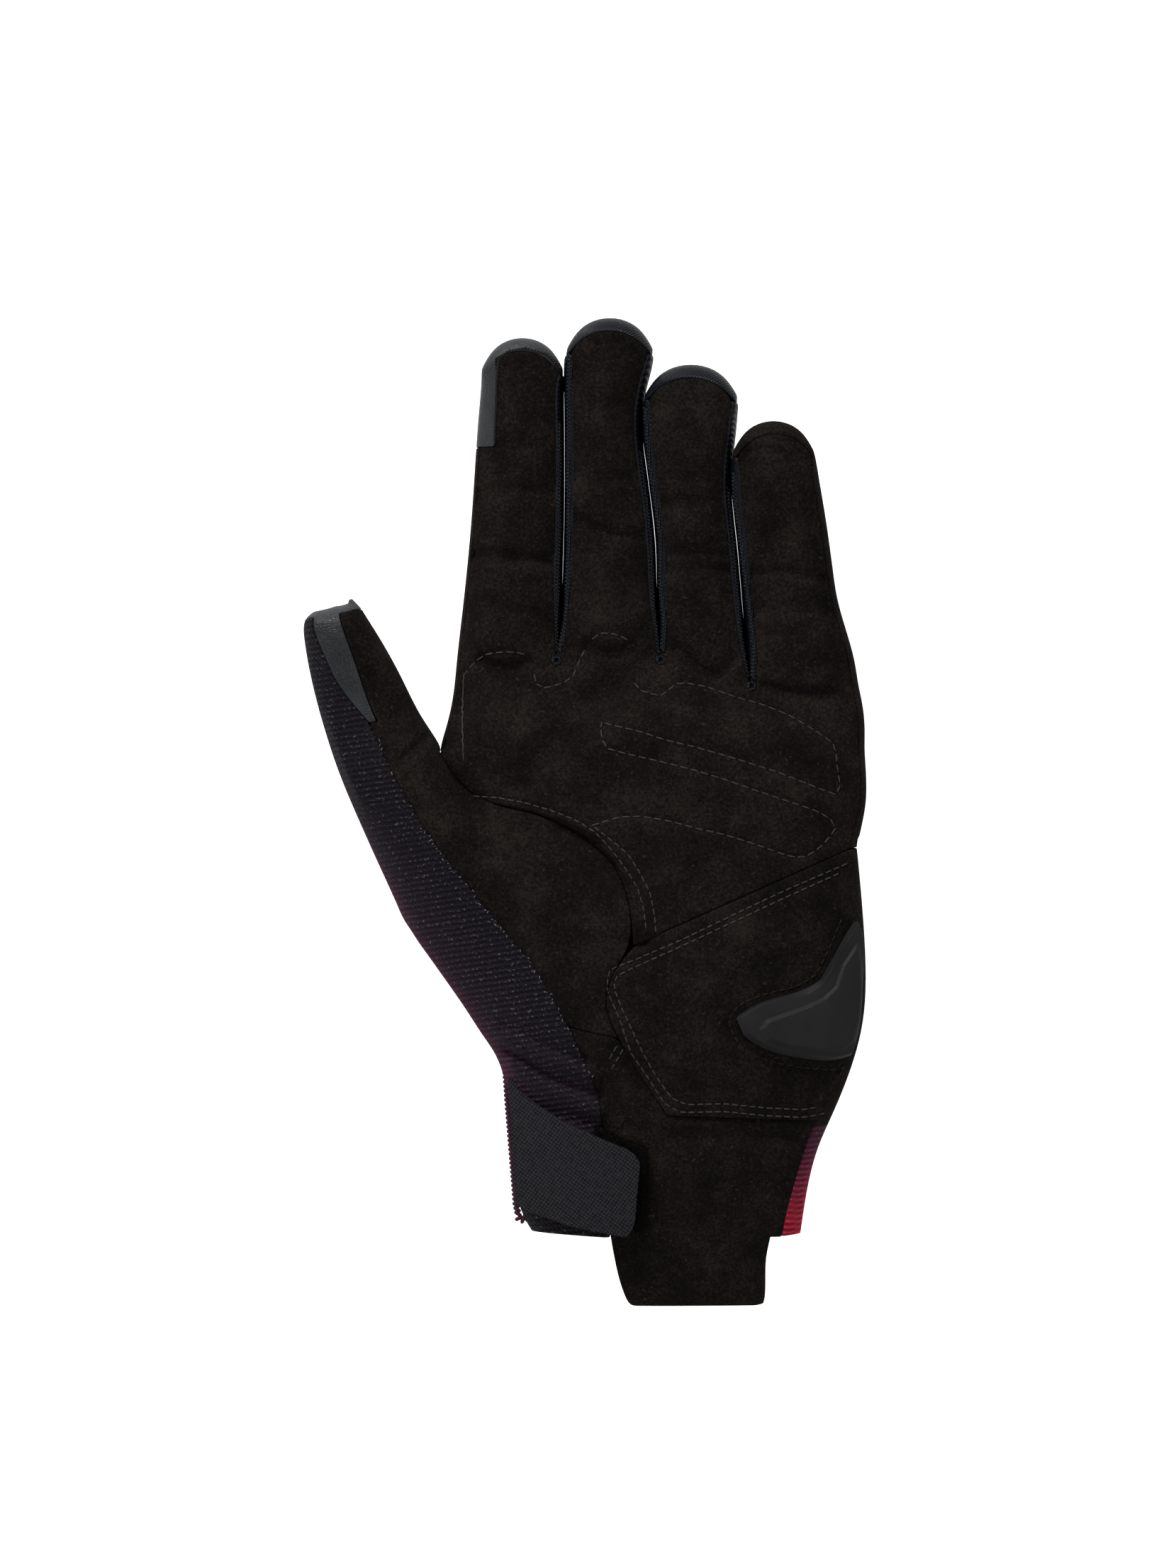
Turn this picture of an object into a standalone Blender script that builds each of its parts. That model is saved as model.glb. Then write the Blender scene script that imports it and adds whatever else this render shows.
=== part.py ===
"""A short riding glove for the left hand, lying on its back with the palm up.

Metres, +Z up. The fingers point along +Y and the thumb lies on the -X side.
The whole glove is one skin, made of rows of loops: one tube for each finger, one for the
thumb, and one for the hand from the finger crotches down to the cuff. Each panel is a patch
of that skin, given a wall of its own thickness, with a seam gap to its neighbours.
"""
import math

import bmesh
import bpy
from mathutils import Vector
from mathutils.bvhtree import BVHTree

# Driving sizes, in metres
HAND_WIDTH = 0.108
PALM_LENGTH = 0.1458
INDEX_LENGTH = 0.0819
MIDDLE_LENGTH = 0.0870
RING_LENGTH = 0.0787
LITTLE_LENGTH = 0.0675
THUMB_LENGTH = 0.0450
THUMB_LEAN = math.radians(17.6)
TONGUE_LENGTH = 0.0172
TONGUE_DROP = 0.0025
FINGER_DEPTH = 0.0190
FINGERTIP_LENGTH = 0.0108
FINGERTIP_DEPTH = 0.0170
THUMB_DEPTH = 0.0205
KNUCKLE_HEIGHT = 0.0125
PALM_HEIGHT = 0.0285
HEEL_HEIGHT = 0.0310
CUFF_HEIGHT = 0.0300
REST_FLATNESS = 0.0014
WEB_RISE = 0.0016
PALM_BULGE = 0.0008
FINGER_SEAM_INSET = 0.0018

SUEDE_WALL = 0.0013
KNIT_WALL = 0.0014
FABRIC_WALL = 0.0010
LEATHER_WALL = 0.0012
PATCH_RAISE = 0.0008
SEAM_GAP = 0.00055
# At a sharp corner a seam is pulled in up to this many times as far
SEAM_CORNER = 3.0
SEAT_GAP = 0.0006
SLIDER_HEIGHT = 0.0026
SLIDER_BEVEL = 0.0014
PAD_THICKNESS = 0.0014
STRAP_THICKNESS = 0.0018
STRAP_SEAT = 0.0009

# Mesh density
FRONT_COLUMNS = 5
THUMB_COLUMNS = 6
SIDE_COLUMNS = 4
PALM_ROWS = 4
BALL_ROWS = 8
HEEL_ROWS = 6
CUFF_ROWS = 4
# Passes that even out the direction of the walls, which keeps them whole at the crotches
WALL_SMOOTHING = 2

# The cross-section is a superellipse. A crotch is this share of the way up it.
ROUNDNESS = 2.4
CROTCH_SHARE = 0.62
CROTCH_REACH = (1 - CROTCH_SHARE ** ROUNDNESS) ** (1 / ROUNDNESS)

# Places across are percent of HAND_WIDTH. Places down are percent of PALM_LENGTH, from the
# crotch of the index finger (0) to the end of the cuff (100).
# Crotches and outer ends of the finger roots: across, down
ROOT_POINTS = [(-46.7, 0.0), (-23.3, 0.0), (1.2, 0.1), (22.3, 4.9), (48.0, 4.4)]

# Lines that part the fingers: percent of MIDDLE_LENGTH above the crotch, across
PARTING_LINES = [
    [(0, -46.7), (11, -45.6), (26, -44.3), (41, -43.2), (56, -42.4), (70, -41.6), (89, -40.2)],
    [(0, -23.3), (11, -22.0), (26, -21.7), (41, -21.3), (70, -21.3), (86, -21.6), (100, -21.7)],
    [(0, 1.2), (17, 0.5), (35, 0.2), (48, -1.2), (58, -2.2), (66, -3.2), (76, -2.7), (84, -0.6)],
    [(-8, 22.3), (6, 21.2), (21, 20.2), (35, 19.2), (48, 17.9), (58, 17.9), (66, 19.5), (72, 19.1)],
    [(-8, 48.0), (3, 46.7), (14, 43.4), (26, 42.0), (41, 40.3), (52, 38.7), (60, 37.8), (75, 37)],
]

# Fingers: length, rise of the tip above the root in knuckle heights, then how far the tip
# leans across and how much narrower it is on each side, in percent
FINGERS = [
    (INDEX_LENGTH, 0.75, 0.2, 0.0),
    (MIDDLE_LENGTH, 0.85, 0.5, 0.0),
    (RING_LENGTH, 0.95, 0.3, 0.0),
    (LITTLE_LENGTH, 1.05, -0.5, 0.6),
]

# Sections along a finger: share of the length, share of the depth. The two that are less
# deep than their neighbours are the creases at the finger's joints.
FINGER_SECTIONS = [
    (0.00, 1.00), (0.09, 1.02), (0.20, 1.05), (0.32, 0.92), (0.43, 1.03),
    (0.54, 0.94), (0.65, 1.00), (0.75, 1.00),
]
# The rounded tip starts at its shoulder, this many FINGERTIP_LENGTHs below the end. Its rows
# bow round the end: each lies at a share of the way from the shoulder to the ridge, where
# front and back meet. The ridge runs round the end up to an angle, and its edge a bit further.
TIP_SHOULDER = 1.3
TIP_ROWS = (0.62, 0.86, 1.0)
TIP_ROUNDNESS = 2.1
RIDGE_ANGLE = math.radians(75)
RIDGE_EDGE_ANGLE = math.radians(80)
# Share of a finger's length over which its sides open out of the web at a crotch
WEB_SHARE = 0.16

# Thumb. Places along are shares of THUMB_LENGTH, places across are shares of the root's width.
THUMB_SECTIONS = [
    # left along, left across, knit seam, right along, right across, patch share, depth
    (-0.013, -0.500, 0.009, 0.013, 0.500, 0.33, 1.00),
    (0.150, -0.512, -0.020, 0.140, 0.455, 0.22, 1.02),
    (0.299, -0.509, -0.049, 0.264, 0.417, 0.19, 1.00),
    (0.435, -0.495, -0.150, 0.395, 0.387, 0.32, 0.95),
    (0.565, -0.474, -0.228, 0.519, 0.357, 0.44, 0.96),
    (0.690, -0.450, -0.255, 0.630, 0.322, 0.50, 1.00),
    (0.798, -0.420, -0.272, 0.735, 0.283, 0.54, 1.00),
    (0.913, -0.381, -0.289, 0.836, 0.238, 0.59, 0.92),
    (0.955, -0.330, -0.245, 0.908, 0.210, 0.61, 0.72),
    (0.990, -0.200, -0.130, 0.985, 0.140, 0.56, 0.00),
]

# Rise of the thumb's tip in heights of its root's middle, and the share of its length over
# which its side opens out of the web
THUMB_RISE = 0.55
THUMB_WEB_SHARE = 0.3

# Sections of the hand below the thumb crotch, each line as across, down
OUTER_EDGE = [
    (-74.2, 22.7), (-69.5, 30.9), (-64.5, 39.0), (-58.8, 47.4), (-54.8, 51.6), (-50.8, 55.8),
    (-45.8, 61.0), (-41.5, 66.0), (-37.2, 70.7), (-35.5, 78.0), (-34.8, 86.9), (-33.5, 95.1),
    (-29.8, 100.0),
]
KNIT_SEAM = [
    (-62.2, 19.4), (-54.2, 29.6), (-45.5, 38.3), (-36.7, 46.3), (-32.3, 50.1), (-28.3, 53.8),
    (-24.3, 59.0), (-20.3, 64.2), (-16.5, 70.5), (-12.7, 77.8), (-12.2, 87.0), (-11.5, 95.1),
    (-10.5, 100.9),
]
THUMB_SEAM = [
    (-50.5, 16.3), (-42.2, 24.8), (-27.8, 27.0), (-13.2, 32.8), (-7.2, 39.5), (-5.3, 50.1),
    (-12.7, 58.0), (-8.5, 66.2), (-3.3, 72.8), (2.8, 79.5), (4.2, 87.7), (4.2, 95.3),
    (4.2, 100.6),
]
BACK_SEAM = [
    (-50.5, 16.3), (-47.5, 26.0), (-43.0, 33.0), (-38.0, 39.5), (-35.0, 43.0), (-32.0, 46.5),
    (-27.0, 55.0), (-22.0, 63.0), (-18.0, 71.0), (-14.0, 78.5), (-12.0, 87.0), (-11.0, 95.2),
    (-10.0, 100.8),
]
# How far out the knit's back starts: share of the way from the knit seam to the edge
BACK_START = 0.8
INNER_SEAM = [
    (48.2, 16.0), (48.5, 21.6), (48.2, 25.9), (46.8, 29.9), (46.3, 31.6), (45.8, 33.3),
    (47.9, 49.4), (47.5, 62.0), (43.9, 71.1), (37.5, 80.5), (34.3, 87.7), (31.2, 95.3),
    (29.7, 100.8),
]
INNER_EDGE = [
    (49.5, 16.0), (50.0, 21.6), (49.8, 25.9), (48.7, 29.9), (48.2, 31.6), (47.7, 33.1),
    (49.7, 49.4), (49.7, 62.0), (46.6, 71.4), (42.0, 80.0), (37.7, 86.9), (35.7, 95.1),
    (34.7, 100.4),
]
# Tongue: share of its length down, then its sides as shares of its width at the cuff
TONGUE_ROWS = [
    (0.30, 0.023, 0.968), (0.62, 0.052, 0.970), (0.88, 0.092, 0.968), (0.97, 0.115, 0.955),
    (1.0, 0.145, 0.910),
]
# The palm takes up the thumb's crotch from this share of the way down, and the hand below is
# free of it after this many sections
THUMB_WEB_START = 0.55
CROTCH_SECTIONS = 3.5
# Sections at which the palm panel, the ball of the thumb and the heel patch end
PALM_END = 5
BALL_END = 7
HEEL_END = 9
CUFF_END = 12

# Height of the front at the hand's sections: section, share of the height that is named
FRONT_HEIGHTS = [
    (0, 1.00 * PALM_HEIGHT), (2, 1.02 * PALM_HEIGHT), (5, 1.00 * HEEL_HEIGHT),
    (7, 1.04 * HEEL_HEIGHT), (9, 0.98 * HEEL_HEIGHT), (10, 1.00 * CUFF_HEIGHT),
    (12, 0.98 * CUFF_HEIGHT),
]

# Dents and folds of the front: from (across, down), to (across, down), depth and spread in
# shares of PALM_HEIGHT. A minus depth is a rise.
FOLDS = [
    ((-7.0, 3.0), (-29.0, 19.5), 0.060, 0.20),
    ((-44.0, 21.0), (-40.5, 32.0), 0.085, 0.16),
    ((-22.0, 29.5), (-5.5, 40.5), 0.090, 0.13),
    ((-34.0, 31.0), (-20.0, 47.0), -0.060, 0.35),
    ((-2.0, 52.0), (26.0, 42.5), 0.045, 0.16),
    ((-31.5, 71.5), (-19.5, 78.5), -0.055, 0.10),
    ((-27.5, 68.0), (-15.0, 75.0), 0.050, 0.09),
    ((-30.0, 76.5), (-14.0, 82.0), 0.050, 0.09),
    ((-7.0, 72.0), (4.0, 84.0), 0.045, 0.15),
    ((8.0, 82.0), (31.0, 83.5), 0.040, 0.13),
    ((24.0, 6.5), (42.0, 7.5), 0.045, 0.12),
    ((4.5, -0.5), (19.0, 2.5), 0.045, 0.12),
    ((-37.0, 1.5), (-28.0, 1.0), 0.035, 0.12),
    ((-12.5, -1.0), (-8.0, -1.0), 0.035, 0.12),
]

# Panels: wall, how far its outer face stands above the skin, colour, roughness
PANELS = {
    "palm_panel": (SUEDE_WALL, 0.0, (0.016, 0.013, 0.011), 0.95),
    "thumb_panel": (SUEDE_WALL, 0.0, (0.016, 0.013, 0.011), 0.95),
    "heel_patch": (SUEDE_WALL, PATCH_RAISE, (0.016, 0.013, 0.011), 0.95),
    "wrist_panel": (SUEDE_WALL, 0.0, (0.015, 0.013, 0.012), 0.95),
    "index_side": (SUEDE_WALL, 0.0, (0.016, 0.013, 0.011), 0.95),
    "little_side": (SUEDE_WALL, 0.0, (0.016, 0.013, 0.011), 0.95),
    "index_tip_patch": (LEATHER_WALL, 0.0, (0.020, 0.022, 0.024), 0.45),
    "thumb_tip_patch": (LEATHER_WALL, 0.0, (0.020, 0.022, 0.024), 0.45),
    "middle_tip": (FABRIC_WALL, 0.0, (0.006, 0.008, 0.014), 0.4),
    "ring_tip": (FABRIC_WALL, 0.0, (0.006, 0.008, 0.014), 0.4),
    "fourchette_index_middle": (FABRIC_WALL, 0.0, (0.006, 0.008, 0.014), 0.4),
    "fourchette_middle_ring": (FABRIC_WALL, 0.0, (0.006, 0.008, 0.014), 0.4),
    "fourchette_ring_little": (FABRIC_WALL, 0.0, (0.006, 0.008, 0.014), 0.4),
    "back_panel": (KNIT_WALL, 0.0, (0.09, 0.02, 0.05), 0.9),
    "thumb_back": (KNIT_WALL, 0.0, (0.09, 0.02, 0.05), 0.9),
}
PANEL_NAMES = list(PANELS)

# Slider outline, anticlockwise from above: across, down
SLIDER_OUTLINE = [
    (45.8, 45.9), (43.6, 48.6), (41.4, 51.8), (38.2, 56.0), (34.2, 57.9), (29.8, 58.7),
    (25.6, 59.5), (21.6, 60.8), (18.7, 62.5), (20.4, 65.5), (23.4, 67.3), (28.9, 68.8),
    (35.3, 69.6), (40.6, 69.9), (44.4, 68.8), (46.1, 65.4), (46.8, 61.0), (47.1, 56.0),
    (47.1, 51.6), (47.0, 48.2),
]
SLIDER_RINGS = (0.35, 0.70)

# Strap: across and down of its top edge, then of its bottom edge
STRAP_STATIONS = [
    (-34.0, 72.7, -31.6, 94.6), (-30.6, 75.8, -28.9, 95.9), (-26.2, 78.1, -25.0, 96.9),
    (-20.7, 80.4, -19.8, 98.0), (-14.3, 82.6, -14.2, 99.1), (-9.2, 84.4, -8.8, 100.0),
    (-5.3, 85.7, -6.0, 100.1), (-3.6, 87.7, -4.6, 97.8),
]
STRAP_ROWS = 6
STRAP_STEPS = 12
# The station from which the strap climbs onto the fastening pad
STRAP_ON_PAD = 2.2
# Fastening pad corners: across, down
PAD_CORNERS = [(-14.0, 81.7), (-1.9, 85.4), (-2.9, 99.4), (-12.5, 98.4)]
PAD_CELLS = 6


def spot(across, down):
    """Point of the table plane from percent of the hand's width and the palm's length."""
    return Vector((across * HAND_WIDTH / 100, -down * PALM_LENGTH / 100))


def mix(a, b, share):
    """Value between a and b."""
    return a + (b - a) * share


def ease(value):
    """Smooth step from 0 to 1."""
    value = min(max(value, 0.0), 1.0)
    return value * value * (3 - 2 * value)


def spline(values, place):
    """Catmull-Rom curve through values that lie at places 0, 1, 2 and so on."""
    last = len(values) - 1
    index = min(int(place), last - 1)
    t = place - index
    before = values[max(index - 1, 0)]
    start = values[index]
    end = values[index + 1]
    after = values[min(index + 2, last)]
    bend = 2 * before - 5 * start + 4 * end - after
    turn = 3 * start - before - 3 * end + after
    return (2 * start + (end - before) * t + bend * t * t + turn * t ** 3) / 2


def read_curve(table, key):
    """Value of a smooth curve through (key, value) rows."""
    keys = [row[0] for row in table]
    values = [row[1] for row in table]
    key = min(max(key, keys[0]), keys[-1])
    index = max(i for i in range(len(keys) - 1) if keys[i] <= key)
    share = (key - keys[index]) / (keys[index + 1] - keys[index])
    return spline(values, index + share)


def arch(reach):
    """Height of the superellipse at a reach of -1 to 1 from its middle."""
    return max(1 - abs(reach) ** ROUNDNESS, 0.0) ** (1 / ROUNDNESS)


def on_rest(height):
    """Nothing goes lower than the surface that the glove lies on."""
    return max(height, 0.0)


def side_arc(edge, seams, reaches, middle, above, below):
    """Points round the side of a tube, from its front seam to its back seam.

    seams holds the places of the two seams, and reaches how far out they lie.
    """
    starts = [math.acos(min(abs(reach), 0.999) ** (ROUNDNESS / 2)) for reach in reaches]
    points = []
    for i in range(1, SIDE_COLUMNS):
        angle = mix(starts[0], -starts[1], i / SIDE_COLUMNS)
        under = 1 if angle < 0 else 0
        near = math.cos(starts[under]) ** (2 / ROUNDNESS)
        far = math.cos(abs(angle)) ** (2 / ROUNDNESS)
        place = seams[under].lerp(edge, (far - near) / (1 - near))
        lift = math.sin(abs(angle)) ** (2 / ROUNDNESS)
        points.append((place, on_rest(middle + lift * (-below if under else above))))
    return points


def web_arc(crotch, top, bottom):
    """Points down the web at a crotch, from its front end to its back end."""
    points = []
    for i in range(1, SIDE_COLUMNS):
        share = i / SIDE_COLUMNS
        bulge = WEB_RISE * math.sin(math.pi * share)
        points.append((crotch + Vector((0, bulge)), mix(top, bottom, share)))
    return points


def blend_side(first, second, share, keep_places=False):
    """Side points between two lists of side points, or only with heights between them."""
    rows = []
    for (place_a, height_a), (place_b, height_b) in zip(first, second):
        place = place_b if keep_places else place_a.lerp(place_b, share)
        rows.append((place, mix(height_a, height_b, share)))
    return rows


def solid_point(place, height):
    """A 3-D point from a place on the table and a height."""
    return Vector((place.x, place.y, height))


def close_loop(front, right, back, left):
    """One loop: front left to right, right side down, back right to left, left side up."""
    rows = front + right + list(reversed(back)) + list(reversed(left))
    return [solid_point(place, height) for place, height in rows]


def tube_section(left, right, middle, above, below, webs, inset_left, inset_right, columns):
    """One loop of a tube between two edges, with a web share for each side.

    webs holds 1 where that side is the web of a crotch and 0 where it is round.
    """
    width = (right - left).length
    seam_left = left.lerp(right, mix(inset_left / width, 0.0, webs[0]))
    seam_right = right.lerp(left, mix(inset_right / width, 0.0, webs[1]))
    front = []
    back = []
    for i in range(columns + 1):
        place = seam_left.lerp(seam_right, i / columns)
        reach = 2 * (place - left).length / width - 1
        web = webs[0] if reach < 0 else webs[1]
        height = arch(reach * mix(1.0, CROTCH_REACH, web))
        front.append((place, on_rest(middle + above * height)))
        back.append((place, on_rest(middle - below * height)))
    sides = []
    for edge, seam, end, web in ((left, seam_left, 0, webs[0]), (right, seam_right, -1, webs[1])):
        reach = 2 * (seam - left).length / width - 1
        arc = side_arc(edge, (seam, seam), (reach, reach), middle, above, below)
        span = web_arc(edge, front[end][1], back[end][1])
        sides.append(blend_side(arc, span, web))
    return front, sides[1], back, sides[0]


def finger_middle(share, rise):
    """Height of a finger's middle line: it curls up towards its tip."""
    return KNUCKLE_HEIGHT * (1 + rise * share ** 1.6)


def parting(line, y):
    """The place across of a parting line between two fingers, at a distance up."""
    key = 100 * y / MIDDLE_LENGTH
    rows = PARTING_LINES[line]
    reach = min(max(key, rows[0][0]), rows[-1][0])
    return read_curve(rows, reach) * HAND_WIDTH / 100


def finger_loops(number):
    """Loops of one finger from its root to its tip, each as (front, right, back, left)."""
    length, rise, lean, narrowing = FINGERS[number]
    root_left = spot(*ROOT_POINTS[number])
    root_right = spot(*ROOT_POINTS[number + 1])
    tip = (root_left.y + root_right.y) / 2 + length
    shoulder = 1 - TIP_SHOULDER * FINGERTIP_LENGTH / length
    inset_left = FINGER_SEAM_INSET * (0.5 if number == 0 else 1.0)
    loops = []
    for share, depth in FINGER_SECTIONS + [(shoulder, FINGERTIP_DEPTH / FINGER_DEPTH)]:
        left = Vector((0.0, mix(root_left.y, tip, share)))
        right = Vector((0.0, mix(root_right.y, tip, share)))
        left.x = parting(number, left.y)
        right.x = parting(number + 1, right.y)
        parted = SEAM_GAP / 2 * ease(share / WEB_SHARE)
        left.x += parted if number > 0 else 0.0
        right.x -= parted if number < 3 else 0.0
        half = FINGER_DEPTH / 2 * depth
        web = 1 - ease(share / WEB_SHARE)
        webs = (web if number > 0 else 0.0, web if number < 3 else 0.0)
        middle = finger_middle(share, rise)
        loops.append(tube_section(left, right, middle, half, half, webs, inset_left,
                                  FINGER_SEAM_INSET, FRONT_COLUMNS))
    shape = (lean * HAND_WIDTH / 100, narrowing * HAND_WIDTH / 100)
    levels = (middle, finger_middle(1.0, rise))
    return loops[:-1] + tip_loops(loops[-1], (left, right), tip, shape, levels)


def tip_loops(shoulder, edges, tip, shape, levels):
    """Loops of a rounded fingertip, from its shoulder to the ridge at its end.

    edges holds the shoulder's left and right edge, shape how far the tip leans and how much
    narrower it is on each side, and levels the heights of its middle line at both ends.
    """
    left, right = edges
    lean, narrowing = shape
    centre = (left.x + right.x) / 2
    half_width = (right.x - left.x) / 2
    base = tip - FINGERTIP_LENGTH
    half = FINGERTIP_DEPTH / 2

    def left_over(y):
        """Share of the tip's width and depth that is left at a distance up."""
        up = min(max(y - base, 0.0) / FINGERTIP_LENGTH, 0.9999)
        return (1 - up ** TIP_ROUNDNESS) ** (1 / TIP_ROUNDNESS)

    def on_ridge(angle):
        """A place of the ridge, at an angle from the end."""
        across = math.copysign(abs(math.sin(angle)) ** (2 / TIP_ROUNDNESS), angle)
        up = math.cos(angle) ** (2 / TIP_ROUNDNESS)
        reach = (half_width - narrowing) * across
        return Vector((centre + lean + reach, base + FINGERTIP_LENGTH * up))

    def bowed(sheet):
        """The shoulder's points, moved up most in the middle."""
        moved = []
        for place, height in sheet:
            reach = (place.x - centre) / half_width
            bow = (TIP_SHOULDER - 1) * FINGERTIP_LENGTH * (1 - reach * reach)
            moved.append((place + Vector((0, bow)), height))
        return moved

    front, side_right, back, side_left = shoulder
    front = bowed(front)
    back = bowed(back)
    loops = [(front, side_right, back, side_left)]
    ridge = [on_ridge(mix(-RIDGE_ANGLE, RIDGE_ANGLE, i / FRONT_COLUMNS))
             for i in range(FRONT_COLUMNS + 1)]
    for way in TIP_ROWS:
        level = mix(levels[0], levels[1], way)
        row_centre = centre + lean * way
        row_half = half_width - narrowing * way
        tall = half if way < 1 else 0.0
        sheets = []
        for sheet, sign in ((front, 1), (back, -1)):
            row = []
            for (place, height), end in zip(sheet, ridge):
                here = place.lerp(end, way)
                share = left_over(here.y)
                reach = min(abs(here.x - row_centre) / (row_half * share), 1.0)
                row.append((here, level + sign * tall * share * arch(reach)))
            sheets.append(row)
        sides = []
        for edge, number, sign in ((left, 0, -1), (right, -1, 1)):
            seam = sheets[0][number][0]
            seam_share = left_over(seam.y)
            reach = abs(seam.x - row_centre) / (row_half * seam_share)
            y = mix(edge.y, on_ridge(sign * RIDGE_EDGE_ANGLE).y, way)
            outer = Vector((row_centre + sign * row_half * left_over(y), y))
            deep = tall * seam_share
            sides.append(side_arc(outer, (seam, seam), (reach, reach), level, deep, deep))
        loops.append((sheets[0], sides[1], sheets[1], sides[0]))
    return loops


def table_line(table, section):
    """A point of one of the hand's lines at a section."""
    return spline([spot(*row) for row in table], section)


def hand_place(section):
    """The corner places of one section of the hand below the thumb crotch."""
    lines = (OUTER_EDGE, KNIT_SEAM, THUMB_SEAM, BACK_SEAM, INNER_SEAM, INNER_EDGE)
    outer, knit, seam, under_seam, inner, edge = [table_line(line, section) for line in lines]
    under_knit = knit.lerp(outer, BACK_START * ease(section / CROTCH_SECTIONS))
    return outer, knit, seam, under_knit, under_seam, inner, edge


def evenly(start, end, columns):
    """Places from start to end, both included."""
    return [start.lerp(end, i / columns) for i in range(columns + 1)]


def fold_depth(place):
    """How far the front is pressed in at a place, by all folds together."""
    depth = 0.0
    for start, end, deep, spread in FOLDS:
        a = spot(*start)
        b = spot(*end)
        run = b - a
        share = min(max((place - a).dot(run) / run.length_squared, 0.0), 1.0)
        away = (place - a - run * share).length / (spread * PALM_HEIGHT)
        depth += deep * PALM_HEIGHT * math.exp(-away * away)
    return depth


def palm_loops(roots):
    """Loops of the hand from below the finger roots to the thumb crotch."""
    top, root_right, under, root_left = roots
    start_left = spot(*ROOT_POINTS[0])
    start_right = spot(*ROOT_POINTS[-1])
    end_left = table_line(THUMB_SEAM, 0)
    end_right = table_line(INNER_EDGE, 0)
    width = (start_right - start_left).length
    shares = [(place - start_left).length / width for place, height in top]
    loops = []
    for row in range(1, PALM_ROWS + 1):
        way = row / PALM_ROWS
        left = start_left.lerp(end_left, way)
        right = start_right.lerp(end_right, way)
        bulge = PALM_BULGE * math.sin(math.pi * way)
        left.x += bulge
        right.x += bulge
        middle = mix(KNUCKLE_HEIGHT, (PALM_HEIGHT - REST_FLATNESS) / 2, way)
        above = PALM_HEIGHT - middle
        below = middle + REST_FLATNESS
        web = ease((way - THUMB_WEB_START) / (1 - THUMB_WEB_START))
        front, side_right, back, side_left = tube_section(
            left, right, middle, above, below, (web, 0.0),
            FINGER_SEAM_INSET * 0.5, FINGER_SEAM_INSET, len(top) - 1)
        root = 1 - ease(way)
        rows = []
        for sheet, first_sheet in ((front, top), (back, under)):
            seam_left = sheet[0][0]
            seam_right = sheet[-1][0]
            new = []
            span = shares[-1] - shares[0]
            for i, (place, height) in enumerate(first_sheet):
                share = (shares[i] - shares[0]) / span
                flat = seam_left.lerp(seam_right, share)
                bend = place - top[0][0].lerp(top[-1][0], share)
                here = flat + bend * (1 - way)
                reach = 2 * (here - left).length / (right - left).length - 1
                lift = arch(min(max(reach, -1), 1) * (CROTCH_REACH if web and reach < 0 else 1))
                rounded = arch(min(max(reach, -1), 1))
                lift = mix(rounded, lift, web) if reach < 0 else rounded
                wide = middle + above * lift if sheet is front else middle - below * lift
                new.append((here, on_rest(mix(wide, height, root))))
            new[0] = (new[0][0], sheet[0][1])
            new[-1] = (new[-1][0], sheet[-1][1])
            rows.append(new)
        loops.append((rows[0], side_right, rows[1], side_left))
    return loops


def thumb_loops():
    """Loops of the thumb from its crotch to its tip."""
    left_root = table_line(OUTER_EDGE, 0)
    right_root = table_line(THUMB_SEAM, 0)
    centre = left_root.lerp(right_root, 0.5)
    width = (right_root - left_root).length
    along = Vector((-math.sin(THUMB_LEAN), math.cos(THUMB_LEAN)))
    across = Vector((math.cos(THUMB_LEAN), math.sin(THUMB_LEAN)))
    middle_root = (PALM_HEIGHT - REST_FLATNESS) / 2
    loops = []
    for number, row in enumerate(THUMB_SECTIONS):
        along_left, out, seam, along_right, inner, patch, depth = row
        left = centre + along * along_left * THUMB_LENGTH + across * out * width
        right = centre + along * along_right * THUMB_LENGTH + across * inner * width
        if number == 0:
            left = left_root
            right = right_root
        seam_share = (seam - out) / (inner - out)
        seam_left = left.lerp(right, seam_share)
        web = 1 - ease(along_right / THUMB_WEB_SHARE) if number else 1.0
        middle = middle_root * (1 + THUMB_RISE * max(along_right, 0.0) ** 1.5)
        above = mix(THUMB_DEPTH / 2 * depth, PALM_HEIGHT - middle_root, web)
        below = mix(THUMB_DEPTH / 2 * depth, middle_root + REST_FLATNESS, web)
        front, side_right, back, side_left = tube_section(
            left, right, middle, above, below, (0.0, web),
            (seam_left - left).length, FINGER_SEAM_INSET * max(depth, 0.3), THUMB_COLUMNS)
        shares = [patch * i / 2 for i in range(2)]
        rest = THUMB_COLUMNS - 2
        shares += [patch + (1 - patch) * i / rest for i in range(rest + 1)]
        seam_right = front[-1][0]
        size = (right - left).length
        front = []
        back = []
        for share in shares:
            place = seam_left.lerp(seam_right, share)
            reach = 2 * (place - left).length / size - 1
            bound = mix(1.0, CROTCH_REACH, web) if reach > 0 else 1.0
            lift = arch(reach * bound)
            front.append((place, on_rest(middle + above * lift)))
            back.append((place, on_rest(middle - below * lift)))
        loops.append((front, side_right, back, side_left))
    return loops


def hand_rows():
    """Sections of the hand at its rows, from the thumb crotch to the cuff."""
    rows = [PALM_END * i / BALL_ROWS for i in range(BALL_ROWS)]
    rows += [mix(PALM_END, HEEL_END, i / HEEL_ROWS) for i in range(HEEL_ROWS)]
    rows += [mix(HEEL_END, CUFF_END, i / CUFF_ROWS) for i in range(CUFF_ROWS + 1)]
    return rows


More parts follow.
